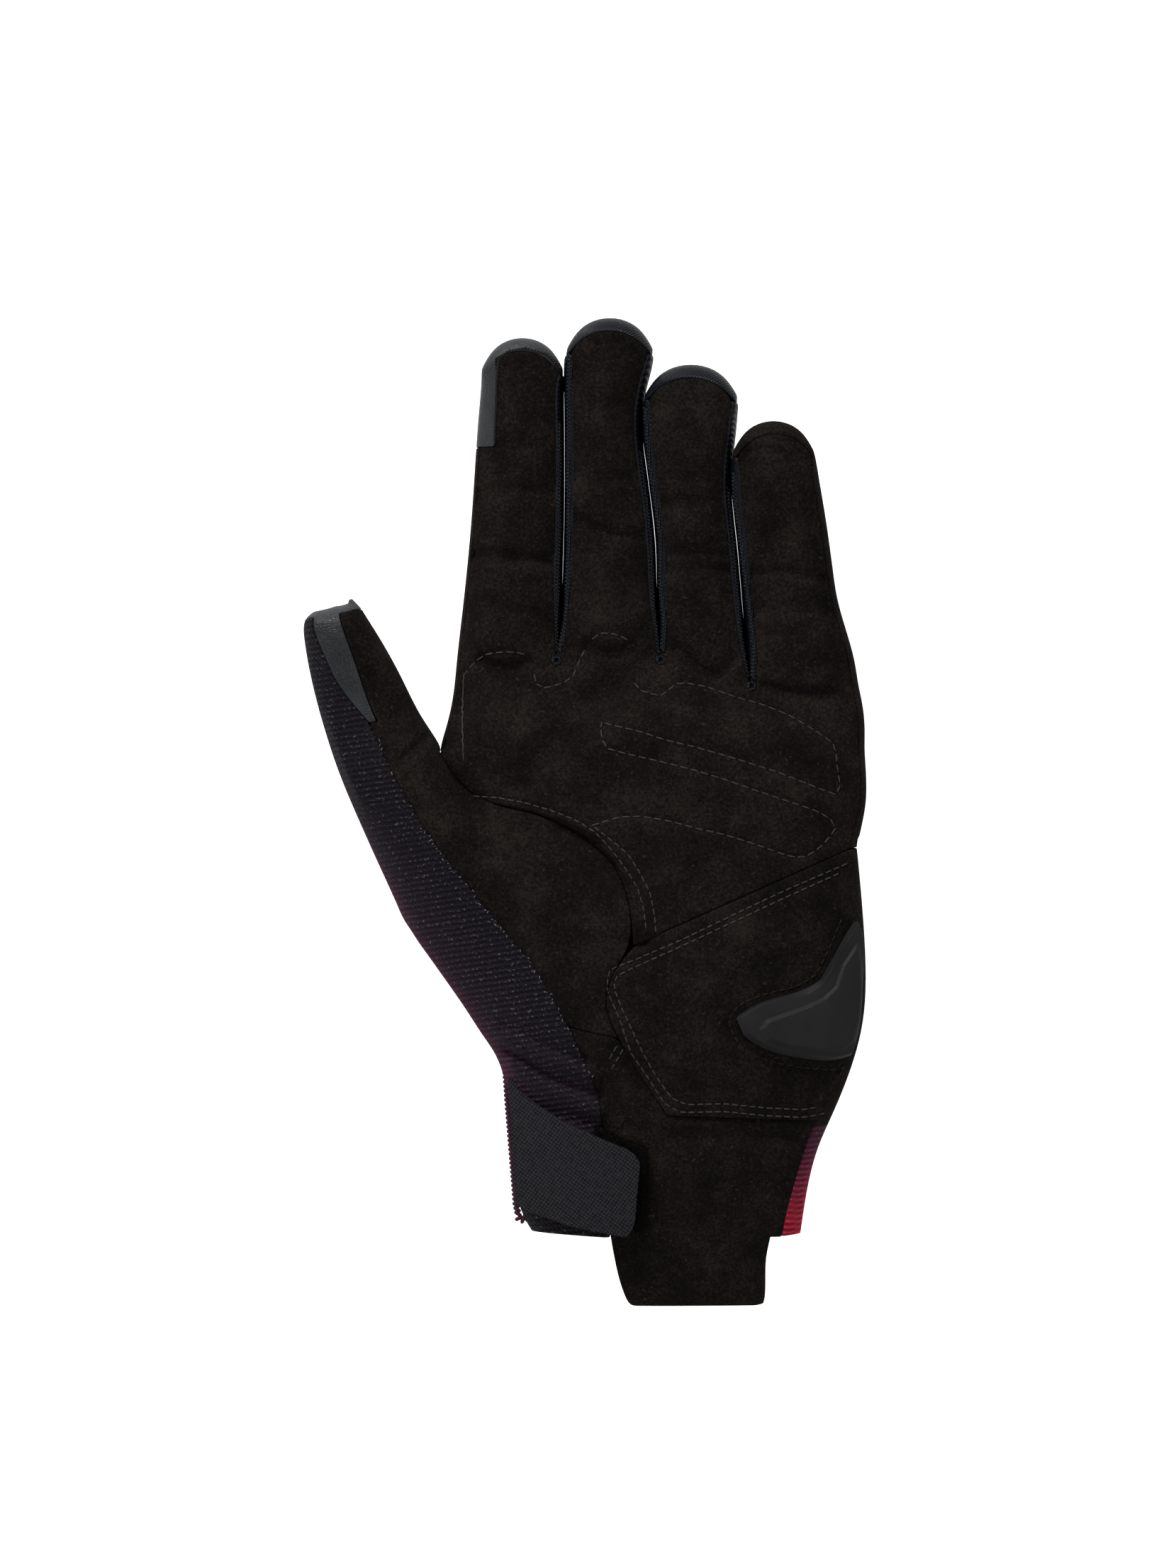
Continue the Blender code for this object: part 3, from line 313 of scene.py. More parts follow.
def rib_knit(name, rib_turn, fade):
    """Rib knit whose dye follows fade, a function of the tree and the place."""
    material, tree, shader, place = new_material(
        name, 0.85, Specular_IOR_Level=0.08, Sheen_Weight=0.03, Sheen_Roughness=0.5)
    turned = add(tree, "ShaderNodeMapping", Vector=place, Rotation=(0, 0, rib_turn)).outputs[0]
    ribs = add(tree, "ShaderNodeTexWave", {"wave_type": "BANDS", "bands_direction": "Y"},
               Vector=turned, Scale=math.pi / 10 / RIB_PITCH, Distortion=0.9, Detail=1.5,
               Detail_Scale=2.0).outputs["Fac"]
    loops = add(tree, "ShaderNodeTexWave", {"wave_type": "BANDS", "bands_direction": "DIAGONAL"},
                Vector=turned, Scale=math.pi / 10 / LOOP_PITCH, Distortion=1.5, Detail=1.0,
                Detail_Scale=2.0).outputs["Fac"]
    yarn = calc(tree, "MULTIPLY_ADD", loops, 0.35, calc(tree, "MULTIPLY", ribs, 0.75))
    dye = ramp(tree, fade(tree, place), [
        (0.0, "#1b181e"), (0.25, "#2c1f2a"), (0.5, "#5c2340"), (0.72, "#8c2444"), (1.0, "#c8233f")])
    # Painted shade: the dye is mixed towards near black #0c090c in the valleys between the ribs and
    # loops, where shade falls.
    shaded = blend_colours(tree, calc(tree, "MULTIPLY_ADD", yarn, -0.75, 0.8), dye, linear("#0c090c"))
    fleck = spread(tree, place, 1500, 2.0, 0.6)
    flecks = calc(tree, "MULTIPLY", calc(tree, "GREATER_THAN", fleck, 0.62),
                  calc(tree, "MULTIPLY", ribs, 0.5))
    shaded = blend_colours(tree, flecks, shaded, linear("#6e6675"))
    tree.links.new(shaded, shader.inputs["Base Color"])
    bump(tree, shader, yarn, 0.0005, 0.9)
    return material


def hand_fade(tree, place):
    """Crimson towards the cuff and the outer edge, near black at the fingers and the front."""
    axes = add(tree, "ShaderNodeSeparateXYZ", Vector=place).outputs
    down = calc(tree, "MULTIPLY_ADD", axes[1], -26.0, -1.65)
    out = calc(tree, "MULTIPLY", axes[0], 2.0)
    up = calc(tree, "MULTIPLY", axes[2], -8.0)
    return calc(tree, "ADD", calc(tree, "ADD", down, out), up)


def thumb_fade(tree, place):
    """Plum at the outer edge of the thumb's knit, near black at its seam."""
    axes = add(tree, "ShaderNodeSeparateXYZ", Vector=place).outputs
    down = calc(tree, "MULTIPLY_ADD", axes[1], -4.0, 0.9)
    up = calc(tree, "MULTIPLY", axes[2], -38.0)
    above_cuff = calc(tree, "MULTIPLY_ADD", axes[1], 40.0, 3.9)
    return calc(tree, "MINIMUM", calc(tree, "ADD", down, up), above_cuff)


back_knit = rib_knit("back_knit", 0.0, hand_fade)
thumb_knit = rib_knit("thumb_knit", -0.15, thumb_fade)

# %% [markdown]
# The slider is moulded TPU, a tough rubbery plastic, with a matt face from a spark-eroded
# mould. The strap is a dense woven tape, and the pad under it is the loop side of a hook
# fastening: a mat of black nylon loops. The thread is dark grey polyester with a dull shine.

# %% Slider, strap, pad and thread


def moulded_tpu(name):
    """Matt black TPU with a fine eroded texture."""
    material, tree, shader, place = new_material(name, 0.55, Specular_IOR_Level=0.16)
    erosion = spread(tree, place, 2600, 2.0)
    cloud = spread(tree, place, 60, 3.0)
    colour = ramp(tree, cloud, [(0.3, "#1b1a1c"), (0.7, "#232224")])
    tree.links.new(colour, shader.inputs["Base Color"])
    bump(tree, shader, erosion, 0.00012, 0.5)
    return material


def woven_tape(name):
    """Charcoal tape with a fine crossed weave."""
    material, tree, shader, place = new_material(name, 0.8, Specular_IOR_Level=0.1)
    turned = add(tree, "ShaderNodeMapping", Vector=place, Rotation=(0, 0, 0.62)).outputs[0]
    bands = []
    for direction in ("X", "Y"):
        bands.append(add(tree, "ShaderNodeTexWave", {"bands_direction": direction}, Vector=turned,
                         Scale=math.pi / 10 / (0.8 * MM), Distortion=0.6).outputs["Fac"])
    weave = calc(tree, "MULTIPLY", bands[0], bands[1])
    speck = spread(tree, place, 1100, 2.0)
    colour = ramp(tree, calc(tree, "MULTIPLY_ADD", weave, 0.5, calc(tree, "MULTIPLY", speck, 0.5)),
                  [(0.2, "#121215"), (0.6, "#302f34")])
    tree.links.new(colour, shader.inputs["Base Color"])
    bump(tree, shader, weave, 0.0002, 0.6)
    return material


def loop_mat(name):
    """A mat of black nylon loops."""
    material, tree, shader, place = new_material(name, 1.0, Specular_IOR_Level=0.05)
    tangle = spread(tree, place, 1300, 6.0, 0.8)
    colour = ramp(tree, tangle, [(0.35, "#050505"), (0.7, "#191817")])
    tree.links.new(colour, shader.inputs["Base Color"])
    bump(tree, shader, tangle, 0.0008, 1.0)
    return material


def spun_thread(name, dark, light):
    """Polyester thread with its twist."""
    material, tree, shader, place = new_material(name, 0.6, Specular_IOR_Level=0.2)
    twist = spread(tree, place, 2500, 2.0)
    colour = ramp(tree, twist, [(0.35, dark), (0.65, light)])
    tree.links.new(colour, shader.inputs["Base Color"])
    return material


tpu = moulded_tpu("moulded_tpu")
tape = woven_tape("woven_tape")
pad_loops = loop_mat("pad_loops")
grey_thread = spun_thread("grey_thread", "#2b2926", "#454240")
black_thread = spun_thread("black_thread", "#0e0d0d", "#1f1d1c")

# %% [markdown]
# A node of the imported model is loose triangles. To dress one, a copy is merged, its triangles
# are joined to quads, and the Subdivision Surface modifier rounds it. The rims of a wall are
# creased a little, so the modifier turns each cut edge into a soft roll, and pushed outwards
# a little, so the seam beside it is narrow.

# %% Make a smooth piece from a node
RIM_CREASE = 0.55
RIM_ANGLE = math.radians(50)
SEAM_REACH = 0.2 * MM
FIRM_PIECES = ("palm_slider", "strap", "loop_pad")


def only(item):
    """Select one object and make it active."""
    bpy.ops.object.select_all(action="DESELECT")
    item.select_set(True)
    bpy.context.view_layer.objects.active = item


def finish_modifier(item, kind, **settings):
    """Add a modifier and apply it."""
    modifier = item.modifiers.new(kind.lower(), kind)
    for key, value in settings.items():
        setattr(modifier, key, value)
    only(item)
    bpy.ops.object.modifier_apply(modifier=modifier.name)


def close_seams(shape):
    """Move the rims of a wall outwards, so that the seams beside it are narrow."""
    sharp = {e for e in shape.edges if len(e.link_faces) == 2 and e.calc_face_angle() > RIM_ANGLE}
    moves = {}
    for face in shape.faces:
        if len(face.edges) != 4:
            continue
        first, second, third, fourth = [edge in sharp for edge in face.edges]
        if (first and third) or (second and fourth):
            for vert in face.verts:
                moves[vert] = moves.get(vert, Vector()) + face.normal
    for vert, move in moves.items():
        if move.length > 0:
            vert.co += move.normalized() * SEAM_REACH


def dress(node, name, material, levels, rim_angle=RIM_ANGLE, rim_crease=RIM_CREASE):
    """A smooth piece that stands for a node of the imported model."""
    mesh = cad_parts[node].data.copy()
    mesh.name = name
    mesh.materials.clear()
    mesh.materials.append(material)
    item = bpy.data.objects.new(name, mesh)
    bpy.context.scene.collection.objects.link(item)
    only(item)
    bpy.ops.object.mode_set(mode="EDIT")
    bpy.ops.mesh.select_all(action="SELECT")
    bpy.ops.mesh.remove_doubles(threshold=0.00001)
    bpy.ops.mesh.tris_convert_to_quads(face_threshold=1.2, shape_threshold=1.2)
    bpy.ops.object.mode_set(mode="OBJECT")
    shape = bmesh.new()
    shape.from_mesh(mesh)
    if node not in FIRM_PIECES:
        close_seams(shape)
    shape.to_mesh(mesh)
    sharp = [len(e.link_faces) == 2 and e.calc_face_angle() > rim_angle for e in shape.edges]
    shape.free()
    crease = mesh.attributes.get("crease_edge") or mesh.attributes.new("crease_edge", "FLOAT", "EDGE")
    for number, is_sharp in enumerate(sharp):
        crease.data[number].value = rim_crease if is_sharp else 0.0
    finish_modifier(item, "SUBSURF", levels=levels, render_levels=levels)
    bpy.ops.object.shade_smooth()
    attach(item, "root")
    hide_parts(node)
    return item


# %% Dress all the panels
LEVELS = 3
PANELS = [
    ("palm_panel", palm_suede, "suede", LEVELS),
    ("thumb_panel", palm_suede, "suede", LEVELS),
    ("heel_patch", patch_suede, "suede", LEVELS),
    ("wrist_panel", wrist_suede, "suede", LEVELS),
    ("index_side", palm_suede, "suede", 2),
    ("little_side", palm_suede, "suede", 2),
    ("index_tip_patch", leather, "grained_leather", LEVELS),
    ("thumb_tip_patch", leather, "grained_leather", LEVELS),
    ("middle_tip", twill, "satin_fabric", 2),
    ("ring_tip", twill, "satin_fabric", 2),
    ("fourchette_index_middle", twill, "satin_fabric", 2),
    ("fourchette_middle_ring", twill, "satin_fabric", 2),
    ("fourchette_ring_little", twill, "satin_fabric", 2),
    ("back_panel", back_knit, "rib_knit", 2),
    ("thumb_back", thumb_knit, "rib_knit", LEVELS),
    ("loop_pad", pad_loops, "fastening_pad", LEVELS),
]
pieces = {}
for node, material, slot, levels in PANELS:
    pieces[node] = dress(node, f"glove_{node}", material, levels)
pieces["palm_slider"] = dress("palm_slider", "glove_palm_slider", tpu, 4,
                              math.radians(22), 0.75)
pieces["strap"] = dress("strap", "glove_strap", tape, LEVELS,
                        RIM_ANGLE, 0.9)
print("dressed", len(pieces), "pieces")

# %% [markdown]
# Cloth that has been folded and sewn isn't flat. The tables below hold the folds, the grooves
# of the stitch lines and the rolls of the knit, all in pixels of the photograph, with a depth
# and a spread in millimetres. Each is pressed into the front of a piece with a soft, bell
# shaped profile. A minus depth is a rise.

# %% Tables of folds
FOLDS = [
    # line in pixels, depth, spread
    ([(650, 780), (690, 785), (735, 789), (790, 792)], 1.65, 1.3),
    ([(655, 800), (700, 812), (760, 806)], -0.52, 2.0),
    ([(668, 697), (736, 694), (790, 700)], 0.83, 1.6),
    ([(680, 932), (700, 941), (722, 943), (745, 934)], 1.5, 1.4),
    ([(806, 676), (850, 682), (912, 672)], 0.75, 1.6),
    ([(806, 733), (840, 746), (866, 755), (918, 757)], 1.42, 1.2),
    ([(830, 912), (846, 921), (868, 924), (890, 914)], 1.65, 1.5),
    ([(924, 716), (984, 709), (1034, 701)], 0.98, 1.6),
    ([(934, 784), (984, 780), (1038, 783)], 1.2, 1.0),
    ([(938, 803), (990, 801), (1038, 806)], 1.05, 1.0),
    ([(955, 918), (984, 943), (1011, 957), (1034, 930)], 1.8, 1.5),
    ([(1052, 812), (1100, 805), (1166, 818)], 1.35, 1.2),
    ([(1066, 862), (1118, 860), (1172, 868)], 0.75, 1.8),
    ([(1080, 970), (1118, 981), (1170, 981)], 1.95, 1.5),
    ([(608, 1036), (590, 1055), (571, 1074)], 2.25, 1.5),
    ([(582, 1010), (566, 1030), (552, 1046)], -0.75, 2.2),
    ([(624, 1062), (643, 1091), (664, 1126), (677, 1156), (681, 1190)], 2.25, 3.2),
    ([(676, 1096), (700, 1160), (706, 1196)], -1.05, 3.0),
    ([(885, 950), (820, 1015), (750, 1092)], 1.35, 4.5),
    ([(905, 1000), (852, 1062)], -0.9, 4.0),
    ([(664, 1120), (731, 1128), (794, 1150), (838, 1172)], -0.75, 1.6),
    ([(794, 1168), (842, 1194), (877, 1238), (899, 1282), (906, 1330)], 1.5, 1.6),
    ([(848, 1500), (862, 1540), (884, 1590)], 1.35, 1.8),
    ([(884, 1500), (902, 1540), (925, 1582)], 0.9, 1.6),
    ([(905, 1592), (960, 1604), (1040, 1602), (1120, 1606)], 1.05, 1.6),
    ([(930, 1640), (1010, 1650), (1090, 1636)], 0.52, 5.0),
    ([(960, 1700), (1060, 1716)], 0.45, 5.0),
    ([(722, 1498), (770, 1533), (846, 1566)], -1.95, 1.5),
    ([(716, 1481), (766, 1513), (845, 1543)], 2.1, 1.2),
    ([(715, 1464), (770, 1494), (838, 1518)], -1.65, 1.7),
    ([(712, 1444), (766, 1472), (826, 1494)], 1.35, 1.4),
    ([(735, 1557), (790, 1572), (848, 1590)], 1.35, 1.3),
]
PALM_STITCH = [
    (655, 1089), (653, 1020), (654, 951), (664, 941), (679, 925), (703, 920), (727, 920),
    (747, 925), (751, 939), (755, 959), (759, 972), (778, 969), (802, 961), (810, 953),
    (816, 935), (826, 915), (838, 898), (850, 892), (865, 894), (885, 901), (893, 911),
    (897, 931), (895, 963), (899, 973), (917, 979), (935, 983), (940, 977), (952, 965),
    (968, 964), (996, 969), (1035, 983), (1075, 994), (1114, 1010), (1154, 1034), (1174, 1048),
    (1178, 1058), (1180, 1081), (1185, 1113), (1178, 1121), (1154, 1112), (1095, 1089),
    (1035, 1070), (980, 1054), (940, 1045), (901, 1032), (861, 1023), (846, 1018), (850, 1046),
    (855, 1056), (885, 1064), (925, 1073), (980, 1087), (1020, 1099), (1059, 1113),
    (1107, 1129), (1154, 1145), (1174, 1158), (1178, 1168), (1166, 1186), (1150, 1200),
    (1130, 1211), (1107, 1206), (1059, 1189), (1020, 1177), (980, 1168), (940, 1157),
    (901, 1151), (869, 1153), (846, 1161), (830, 1166),
]
THUMB_ROWS = [
    [(668, 1123), (700, 1125), (740, 1132), (780, 1144), (815, 1158), (842, 1176), (861, 1196),
     (885, 1228), (901, 1255), (909, 1287), (913, 1330)],
    [(838, 1166), (861, 1184), (885, 1204), (901, 1228), (917, 1259), (923, 1291),
     (925, 1319)],
]
HEEL_ROWS = [
    [(1194, 1218), (1114, 1252), (1035, 1289), (956, 1327), (897, 1352), (861, 1366),
     (857, 1378), (857, 1398), (873, 1433), (889, 1482), (915, 1520), (938, 1556),
     (960, 1567), (1023, 1566), (1080, 1572), (1134, 1575), (1168, 1568)],
    [(1182, 1232), (1110, 1264), (1035, 1299), (956, 1336), (893, 1364), (869, 1376),
     (865, 1390), (877, 1421), (904, 1478), (923, 1513), (946, 1546), (966, 1556),
     (1023, 1555), (1080, 1561), (1134, 1564), (1160, 1558)],
]
SEAM_ROWS = [
    [(870, 1474), (857, 1496), (843, 1516)],
    [(879, 1478), (864, 1504), (849, 1528)],
]
SLIDER_STITCH = [
    (1186, 1296), (1172, 1330), (1150, 1375), (1124, 1390), (1078, 1401), (1044, 1414),
    (1026, 1434), (1030, 1450), (1042, 1472), (1062, 1487), (1098, 1498), (1137, 1505),
    (1176, 1508), (1204, 1503),
]
LITTLE_SEAM = [
    (1046, 655), (1055, 640), (1080, 634), (1103, 641), (1118, 656), (1127, 670), (1134, 700),
    (1144, 746), (1155, 796), (1163, 838), (1167, 884), (1176, 918), (1188, 962), (1196, 1000),
]
PLATEAU = [
    (1210, 1325), (1187, 1359), (1176, 1390), (1160, 1405), (1134, 1417), (1080, 1436),
    (1070, 1450), (1080, 1467), (1110, 1477), (1150, 1483), (1190, 1482), (1206, 1468),
    (1214, 1440), (1218, 1400), (1216, 1350), (1210, 1325),
]
KNIT_SEAM = [
    (536, 1044), (550, 1081), (568, 1114), (596, 1165), (629, 1212), (671, 1263), (713, 1314),
    (755, 1366), (782, 1410), (805, 1455), (824, 1497), (839, 1524),
]

# %% Press the folds into the pieces
GROOVE_DEPTH = 0.5
GROOVE_SPREAD = 0.75
WAVE_HEIGHT = 0.35 * MM
WAVE_GRAIN = 55
SIDE_LEAN = 0.4
FRONT_LEAN = 0.3
SIDE_SWELL = 0.4 * MM
PLATEAU_HEIGHT = 0.9 * MM
PLATEAU_EDGE = 0.9 * MM
HEEL_STRIP = (1588, 1180, 1150)


def away_from(points, places):
    """Distance from every place to a line through pixel points."""
    line = np.array([tuple(spot(*point)) for point in points])
    best = np.full(len(places), 1.0)
    for start, end in zip(line, line[1:]):
        run = end - start
        share = np.clip((places - start) @ run / (run @ run), 0, 1)
        best = np.minimum(best, np.linalg.norm(places - start - share[:, None] * run, axis=1))
    return best


def press(item, table, waves=WAVE_HEIGHT):
    """Press a table of folds into the front of a piece, with slow waves on top."""
    mesh = item.data
    count = len(mesh.vertices)
    points = np.empty(count * 3, dtype=np.float32)
    normals = np.empty(count * 3, dtype=np.float32)
    mesh.vertices.foreach_get("co", points)
    mesh.vertices.foreach_get("normal", normals)
    points = points.reshape(-1, 3).astype(float)
    front = np.clip(normals.reshape(-1, 3)[:, 2] * 1.5, 0, 1)
    move = np.zeros(count)
    low = points[:, :2].min(axis=0)
    high = points[:, :2].max(axis=0)
    for line, depth, spread in table:
        ends = np.array([tuple(spot(*point)) for point in line])
        reach = 3 * spread * MM
        if (ends.max(axis=0) + reach < low).any() or (ends.min(axis=0) - reach > high).any():
            continue
        away = away_from(line, points[:, :2]) / (spread * MM)
        move -= depth * MM * np.exp(-away * away)
    if waves:
        slow = [noise.noise(Vector(p) * WAVE_GRAIN) + 0.5 * noise.noise(Vector(p) * WAVE_GRAIN * 2.7)
                for p in points]
        move += waves * np.array(slow)
    points[:, 2] += move * front
    mesh.vertices.foreach_set("co", points.astype(np.float32).ravel())
    mesh.update()


def swell(item, reach):
    """Move the sides of a piece outwards, so that it fills the gap between two fingers."""
    leans = [vert.normal.x for vert in item.data.vertices]
    for vert, lean in zip(item.data.vertices, leans):
        if abs(lean) > SIDE_LEAN:
            vert.co.x += reach * lean


def narrow_strap(item, reach=1.3 * MM, over=14 * MM):
    """Draw the strap's outer end in from the hem of the cuff."""
    start = min(vert.co.x for vert in item.data.vertices)
    for vert in item.data.vertices:
        share = min((vert.co.x - start) / over, 1.0)
        vert.co.x += reach * (1 - share) ** 2


def raise_inside(item, outline, height, edge):
    """Raise the front of a piece inside an outline, with a sloping edge."""
    ring = [spot(*point) for point in outline]
    vertices = item.data.vertices
    fronts = [vert.normal.z > FRONT_LEAN for vert in vertices]
    away = away_from(outline, np.array([vert.co[:2] for vert in vertices]))
    for vert, is_front, distance in zip(vertices, fronts, away):
        inside = False
        for a, b in zip(ring, ring[1:]):
            if (a.y > vert.co.y) != (b.y > vert.co.y):
                at = a.x + (vert.co.y - a.y) / (b.y - a.y) * (b.x - a.x)
                inside = inside != (vert.co.x < at)
        if is_front and inside:
            vert.co.z += height * min(distance / edge, 1.0)


def dye_strip(item, material, low, high, left):
    """Give a second material to the faces of a piece inside a box of pixels."""
    item.data.materials.append(material)
    for face in item.data.polygons:
        place = face.center
        if place.x > spot(left, 0).x and spot(0, low).y < place.y < spot(0, high).y:
            face.material_index = 1


dye_strip(pieces["back_panel"], patch_suede, *HEEL_STRIP)
for node in ("fourchette_index_middle", "fourchette_middle_ring", "fourchette_ring_little"):
    swell(pieces[node], SIDE_SWELL)
narrow_strap(pieces["strap"])
finish_modifier(pieces["thumb_tip_patch"], "SMOOTH", factor=0.5, iterations=10)
grooves = [(line, GROOVE_DEPTH, GROOVE_SPREAD)
           for line in [PALM_STITCH, *THUMB_ROWS, *HEEL_ROWS, *SEAM_ROWS, SLIDER_STITCH, LITTLE_SEAM]]
for node in ("palm_panel", "thumb_panel", "heel_patch", "wrist_panel", "thumb_back"):
    press(pieces[node], FOLDS + grooves)
for node in ("little_side", "index_side", "index_tip_patch", "thumb_tip_patch"):
    press(pieces[node], FOLDS, 0.2 * MM)
raise_inside(pieces["palm_slider"], PLATEAU, PLATEAU_HEIGHT, PLATEAU_EDGE)
press(pieces["loop_pad"], [], 0.0)
press(pieces["strap"], [([(745, 1700), (820, 1725), (890, 1738)], 0.12, 1.0)], 0.1 * MM)

# %% [markdown]
# Threads and braids need to lie on the cloth, so one search tree holds the fronts of all the
# dressed pieces. A ray from above finds the height and the slope at any pixel.

# %% Find the front of the glove
tree_points = []
tree_faces = []
for item in pieces.values():
    start = len(tree_points)
    tree_points += [vert.co.copy() for vert in item.data.vertices]
    tree_faces += [[start + corner for corner in face.vertices] for face in item.data.polygons]
front_tree = BVHTree.FromPolygons(tree_points, tree_faces)


def lay(place):
    """Point and normal of the front above a place of the table."""
    hit, normal, index, distance = front_tree.ray_cast(Vector((place[0], place[1], 0.1)),
                                                       Vector((0, 0, -1)))
    if hit is None:
        hit, normal, index, distance = front_tree.find_nearest(Vector((place[0], place[1], 0.02)))
    return hit, normal


def walk(points, pitch):
    """Places at even steps along a line of pixel points."""
    line = [Vector(spot(*point)) for point in points]
    places = []
    gone = 0.0
    for start, end in zip(line, line[1:]):
        length = (end - start).length
        while gone < length:
            places.append(start.lerp(end, gone / length))
            gone += pitch
        gone -= length
    return places


def evened(heights, reach):
    """Heights that follow the median of their neighbours, so that no step shows."""
    result = []
    for i in range(len(heights)):
        near = sorted(heights[max(i - reach, 0):i + reach + 1])
        result.append(near[len(near) // 2])
    return result


# %% [markdown]
# A stitch is a short capsule with few faces. A braid is a row of slanted capsules. Both are
# copied along a line by their matrices and then joined in one mesh, which keeps the scene
# small and quick.

# %% Copies along a line
CAPSULE_RINGS = ((-0.5, 0.35), (-0.38, 0.85), (0.0, 1.0), (0.38, 0.85), (0.5, 0.35))
CAPSULE_SIDES = 6


def capsule():
    """Points and faces of a capsule of length 1 along X and radius 1."""
    points = []
    faces = []
    for along, radius in CAPSULE_RINGS:
        for i in range(CAPSULE_SIDES):
            turn = 2 * math.pi * i / CAPSULE_SIDES
            points.append((along, radius * math.cos(turn), radius * math.sin(turn)))
    for ring in range(len(CAPSULE_RINGS) - 1):
        for i in range(CAPSULE_SIDES):
            after = (i + 1) % CAPSULE_SIDES
            a = ring * CAPSULE_SIDES
            b = a + CAPSULE_SIDES
            faces.append((a + i, b + i, b + after, a + after))
    faces.append(tuple(range(CAPSULE_SIDES)))
    last = (len(CAPSULE_RINGS) - 1) * CAPSULE_SIDES
    faces.append(tuple(last + i for i in reversed(range(CAPSULE_SIDES))))
    return np.array(points), faces


CAPSULE_POINTS, CAPSULE_FACES = capsule()


def joined_capsules(name, copies, material):
    """One mesh of capsules, each given as (middle, along, up, length, width, height)."""
    points = []
    faces = []
    for middle, along, up, length, width, height in copies:
        along = along.normalized()
        side = up.cross(along).normalized()
        up = along.cross(side)
        frame_rows = np.array([along * length, side * width / 2, up * height / 2])
        start = len(points) * len(CAPSULE_POINTS)
        points.append(CAPSULE_POINTS @ frame_rows + np.array(middle))
        faces += [[start + corner for corner in face] for face in CAPSULE_FACES]
    mesh = bpy.data.meshes.new(name)
    mesh.from_pydata(np.concatenate(points).tolist(), [], faces)
    mesh.materials.append(material)
    item = bpy.data.objects.new(name, mesh)
    bpy.context.scene.collection.objects.link(item)
    only(item)
    bpy.ops.object.shade_smooth()
    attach(item, "root")
    return item


def stitch_copies(points, pitch, share=0.74, width=0.42 * MM):
    """Capsules of one row of stitches."""
    places = walk(points, pitch)
    copies = []
    for start, end in zip(places, places[1:]):
        a, normal_a = lay(start)
        b, normal_b = lay(start.lerp(end, share))
        normal = (normal_a + normal_b).normalized()
        if normal.z < 0.15 or (b - a).length > 2 * pitch:
            continue
        middle = (a + b) / 2 + normal * 0.1 * MM
        copies.append((middle, b - a, normal, (b - a).length, width, width * 0.8))
    return copies


# %% Stitches
LONG_STITCH = 2.7 * MM
SHORT_STITCH = 2.2 * MM
INDEX_ROW = [(655, 951), (652, 1000), (653, 1050), (656, 1105)]

random.seed(4)
rows = stitch_copies(PALM_STITCH, LONG_STITCH)
for line in THUMB_ROWS + HEEL_ROWS + SEAM_ROWS:
    rows += stitch_copies(line, SHORT_STITCH)
rows += stitch_copies(INDEX_ROW, LONG_STITCH)
joined_capsules("stitches_grey", rows, grey_thread)
rows = stitch_copies(SLIDER_STITCH, SHORT_STITCH)
joined_capsules("stitches_black", rows, black_thread)

# %% [markdown]
# The edges of the satin between the fingers are bound with a fine twisted braid. It runs down
# the left side of each finger from the tip to the crotch, where it ends in a small knot. The
# hem of the cuff has a coarser braid in dark plum.

# %% Braids
BRAIDS = [
    [(805, 512), (803, 560), (802, 640), (803, 734), (802, 806), (799, 870), (793, 905), (787, 926)],
    [(911, 580), (914, 620), (917, 655), (925, 705), (932, 755), (933, 832), (938, 885), (934, 926)],
    [(1036, 672), (1037, 705), (1043, 740), (1049, 794), (1057, 851), (1065, 920), (1062, 962)],
    [(789, 600), (789, 734), (787, 806), (785, 878), (784, 922)],
    [(903, 640), (911, 700), (918, 760), (921, 850), (929, 924)],
    [(1026, 690), (1033, 760), (1039, 830), (1045, 900), (1056, 962)],
]


def braid_copies(points, pitch, length, width, slant, heights=None, lift=0.2 * MM):
    """Slanted capsules along a line, on the front or at given heights."""
    places = walk(points, pitch)
    if heights is None:
        levels = evened([lay(place)[0].z for place in places], 3)
    else:
        levels = [heights[0] + (heights[1] - heights[0]) * i / len(places)
                  for i in range(len(places))]
    copies = []
    for i in range(len(places) - 1):
        middle = Vector((*places[i], levels[i] + lift))
        run = Vector((*(places[i + 1] - places[i]), levels[i + 1] - levels[i])).normalized()
        side = Vector((0, 0, 1)).cross(run).normalized()
        along = run * math.cos(slant) + side * math.sin(slant)
        copies.append((middle, along, Vector((0, 0, 1)), length, width, width))
    return copies


ropes = []
for number, line in enumerate(BRAIDS):
    wide = 1.0 if number < 3 else 0.8
    ropes += braid_copies(line, 0.95 * MM, 2.0 * MM * wide, 0.95 * MM * wide, 0.75)
for knot in ((785, 932), (932, 931), (1060, 968)):
    centre, normal = lay(spot(*knot))
    for turn in range(6):
        angle = turn * math.pi / 3
        side = Vector((math.cos(angle), math.sin(angle), 0))
        along = Vector((-side.y, side.x, 0.3))
        ropes.append((centre + side * 0.9 * MM + Vector((0, 0, 0.3 * MM)), along,
                      Vector((0, 0, 1)), 1.5 * MM, 0.9 * MM, 0.9 * MM))
joined_capsules("finger_braids", ropes, braid_satin)

patch_edge = [(790, 520), (770, 502), (741, 494), (718, 498), (704, 507), (701, 540), (699, 600),
              (698, 628)]
joined_capsules("patch_edging", braid_copies(patch_edge, 0.8 * MM, 1.2 * MM, 0.6 * MM, 0.6, lift=0.0),
                black_thread)

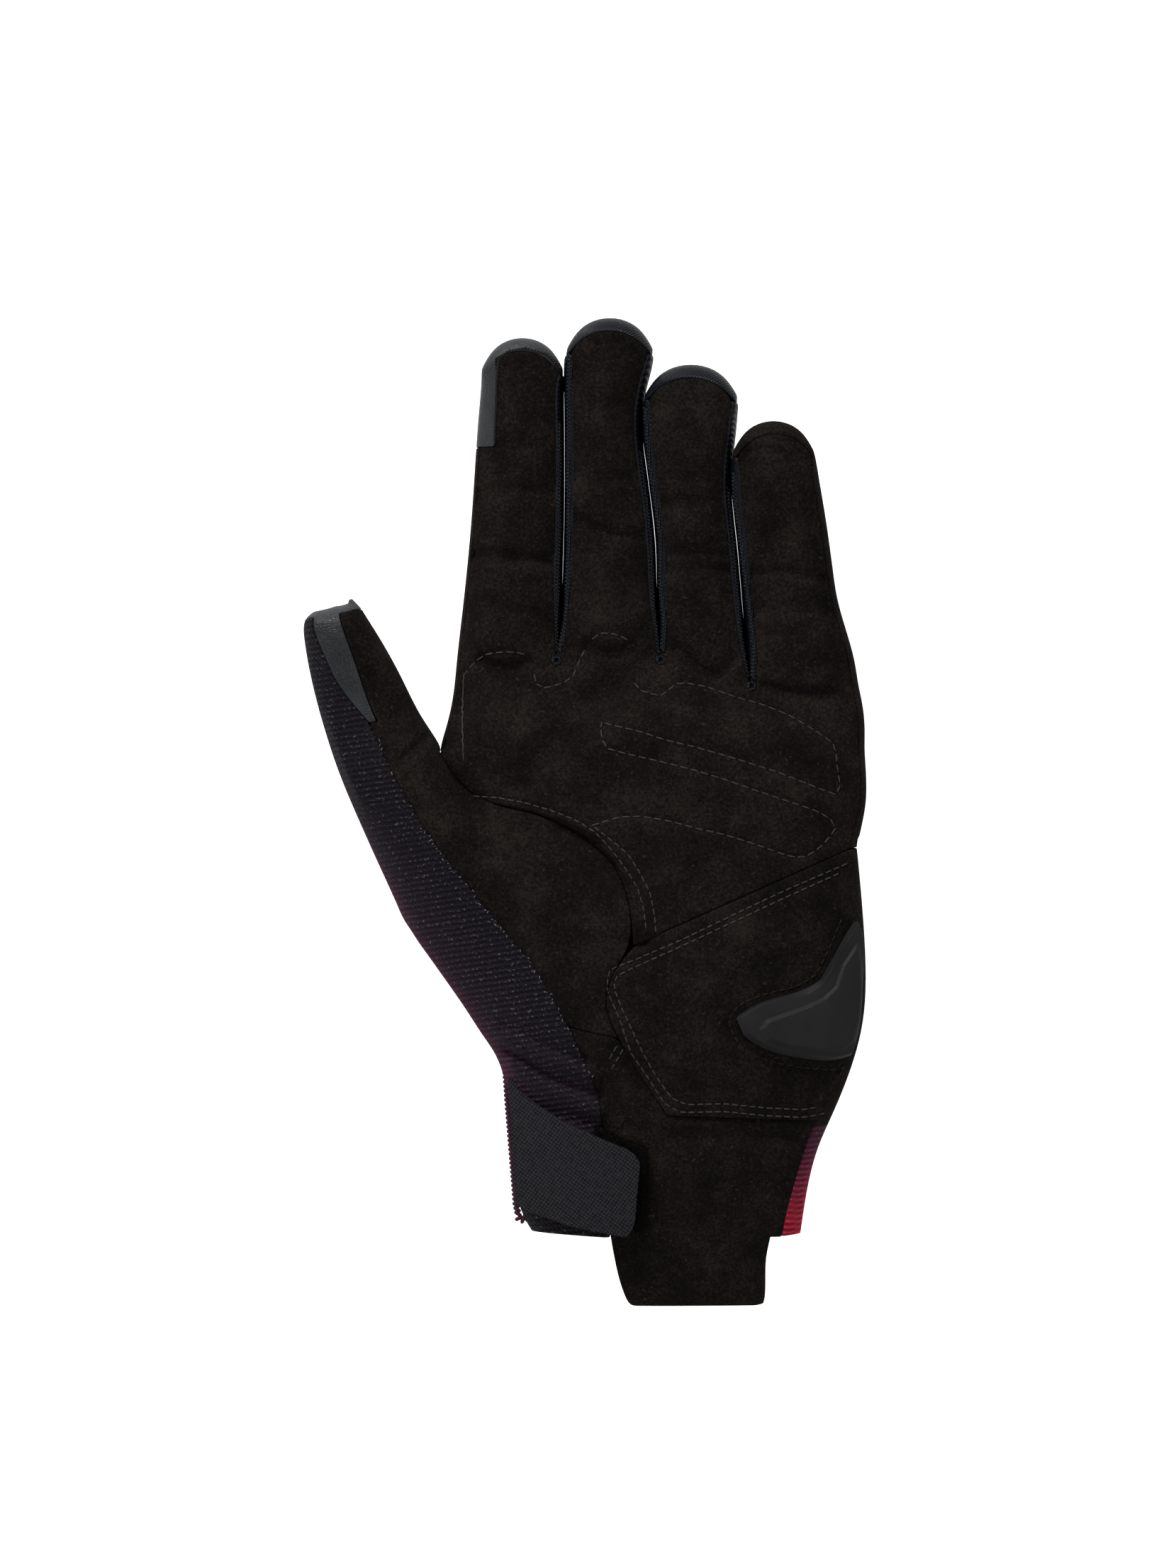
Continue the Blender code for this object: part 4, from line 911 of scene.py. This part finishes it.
plum_thread = spun_thread("plum_thread", "#241722", "#4e2238")
hem = [(713, 1503), (716, 1550), (720, 1600), (724, 1650), (728, 1700), (732, 1720), (741, 1722),
       (744, 1708)]
joined_capsules("cuff_hem", braid_copies(hem, 1.15 * MM, 2.2 * MM, 1.1 * MM, 0.8, (0.017, 0.0145)),
                plum_thread)

# %% [markdown]
# The mat of the pad is a tangle of loops, and some of them stand out at its edge. The seam
# between the knit and the suede has pale specks, where the white yarn was cut. Both are thin
# capsules at random turns.

# %% Loose loops and specks
LOOSE_LOOPS = 700
SPECK_PITCH = 1.3 * MM

loops = []
edge_points = [v for v in pieces["loop_pad"].data.vertices if v.normal.z > -0.2]
for vert in random.sample(edge_points, min(LOOSE_LOOPS, len(edge_points))):
    lean = Vector([random.uniform(-0.8, 0.8) for axis in range(3)])
    along = (vert.normal + lean).normalized()
    length = random.uniform(0.7, 1.5) * MM
    loops.append((vert.co + along * length * 0.4, along, Vector((0.3, 0.5, 0.8)), length,
                  0.14 * MM, 0.14 * MM))
joined_capsules("pad_fuzz", loops, pad_loops)

white_yarn = spun_thread("white_yarn", "#55565e", "#8a8c98")
specks = []
for place in walk(KNIT_SEAM, SPECK_PITCH):
    shift = Vector((random.uniform(-0.9, 0.3), random.uniform(-0.5, 0.5))) * MM
    point, normal = lay(place + shift)
    if normal.z > 0.1 and random.random() < 0.7:
        along = Vector([random.uniform(-1, 1), random.uniform(-1, 1), 0.2])
        specks.append((point + normal * 0.1 * MM, along, normal, random.uniform(0.4, 0.9) * MM,
                       0.2 * MM, 0.2 * MM))
joined_capsules("seam_specks", specks, white_yarn)

# %% Pale floor
floor_size = 3.0
bpy.ops.object.select_all(action="DESELECT")
bpy.ops.mesh.primitive_plane_add(size=floor_size, location=(0, 0, -0.0004))
floor = bpy.context.active_object
floor.name = "floor"
floor_material, floor_tree, floor_shader, floor_place = new_material("pale_floor", 0.9)
floor_shader.inputs["Base Color"].default_value = linear("#fafafa")
floor_shader.inputs["Emission Color"].default_value = (1, 1, 1, 1)
seen = add(floor_tree, "ShaderNodeLightPath").outputs["Is Camera Ray"]
floor_tree.links.new(seen, floor_shader.inputs["Emission Strength"])
floor.data.materials.append(floor_material)
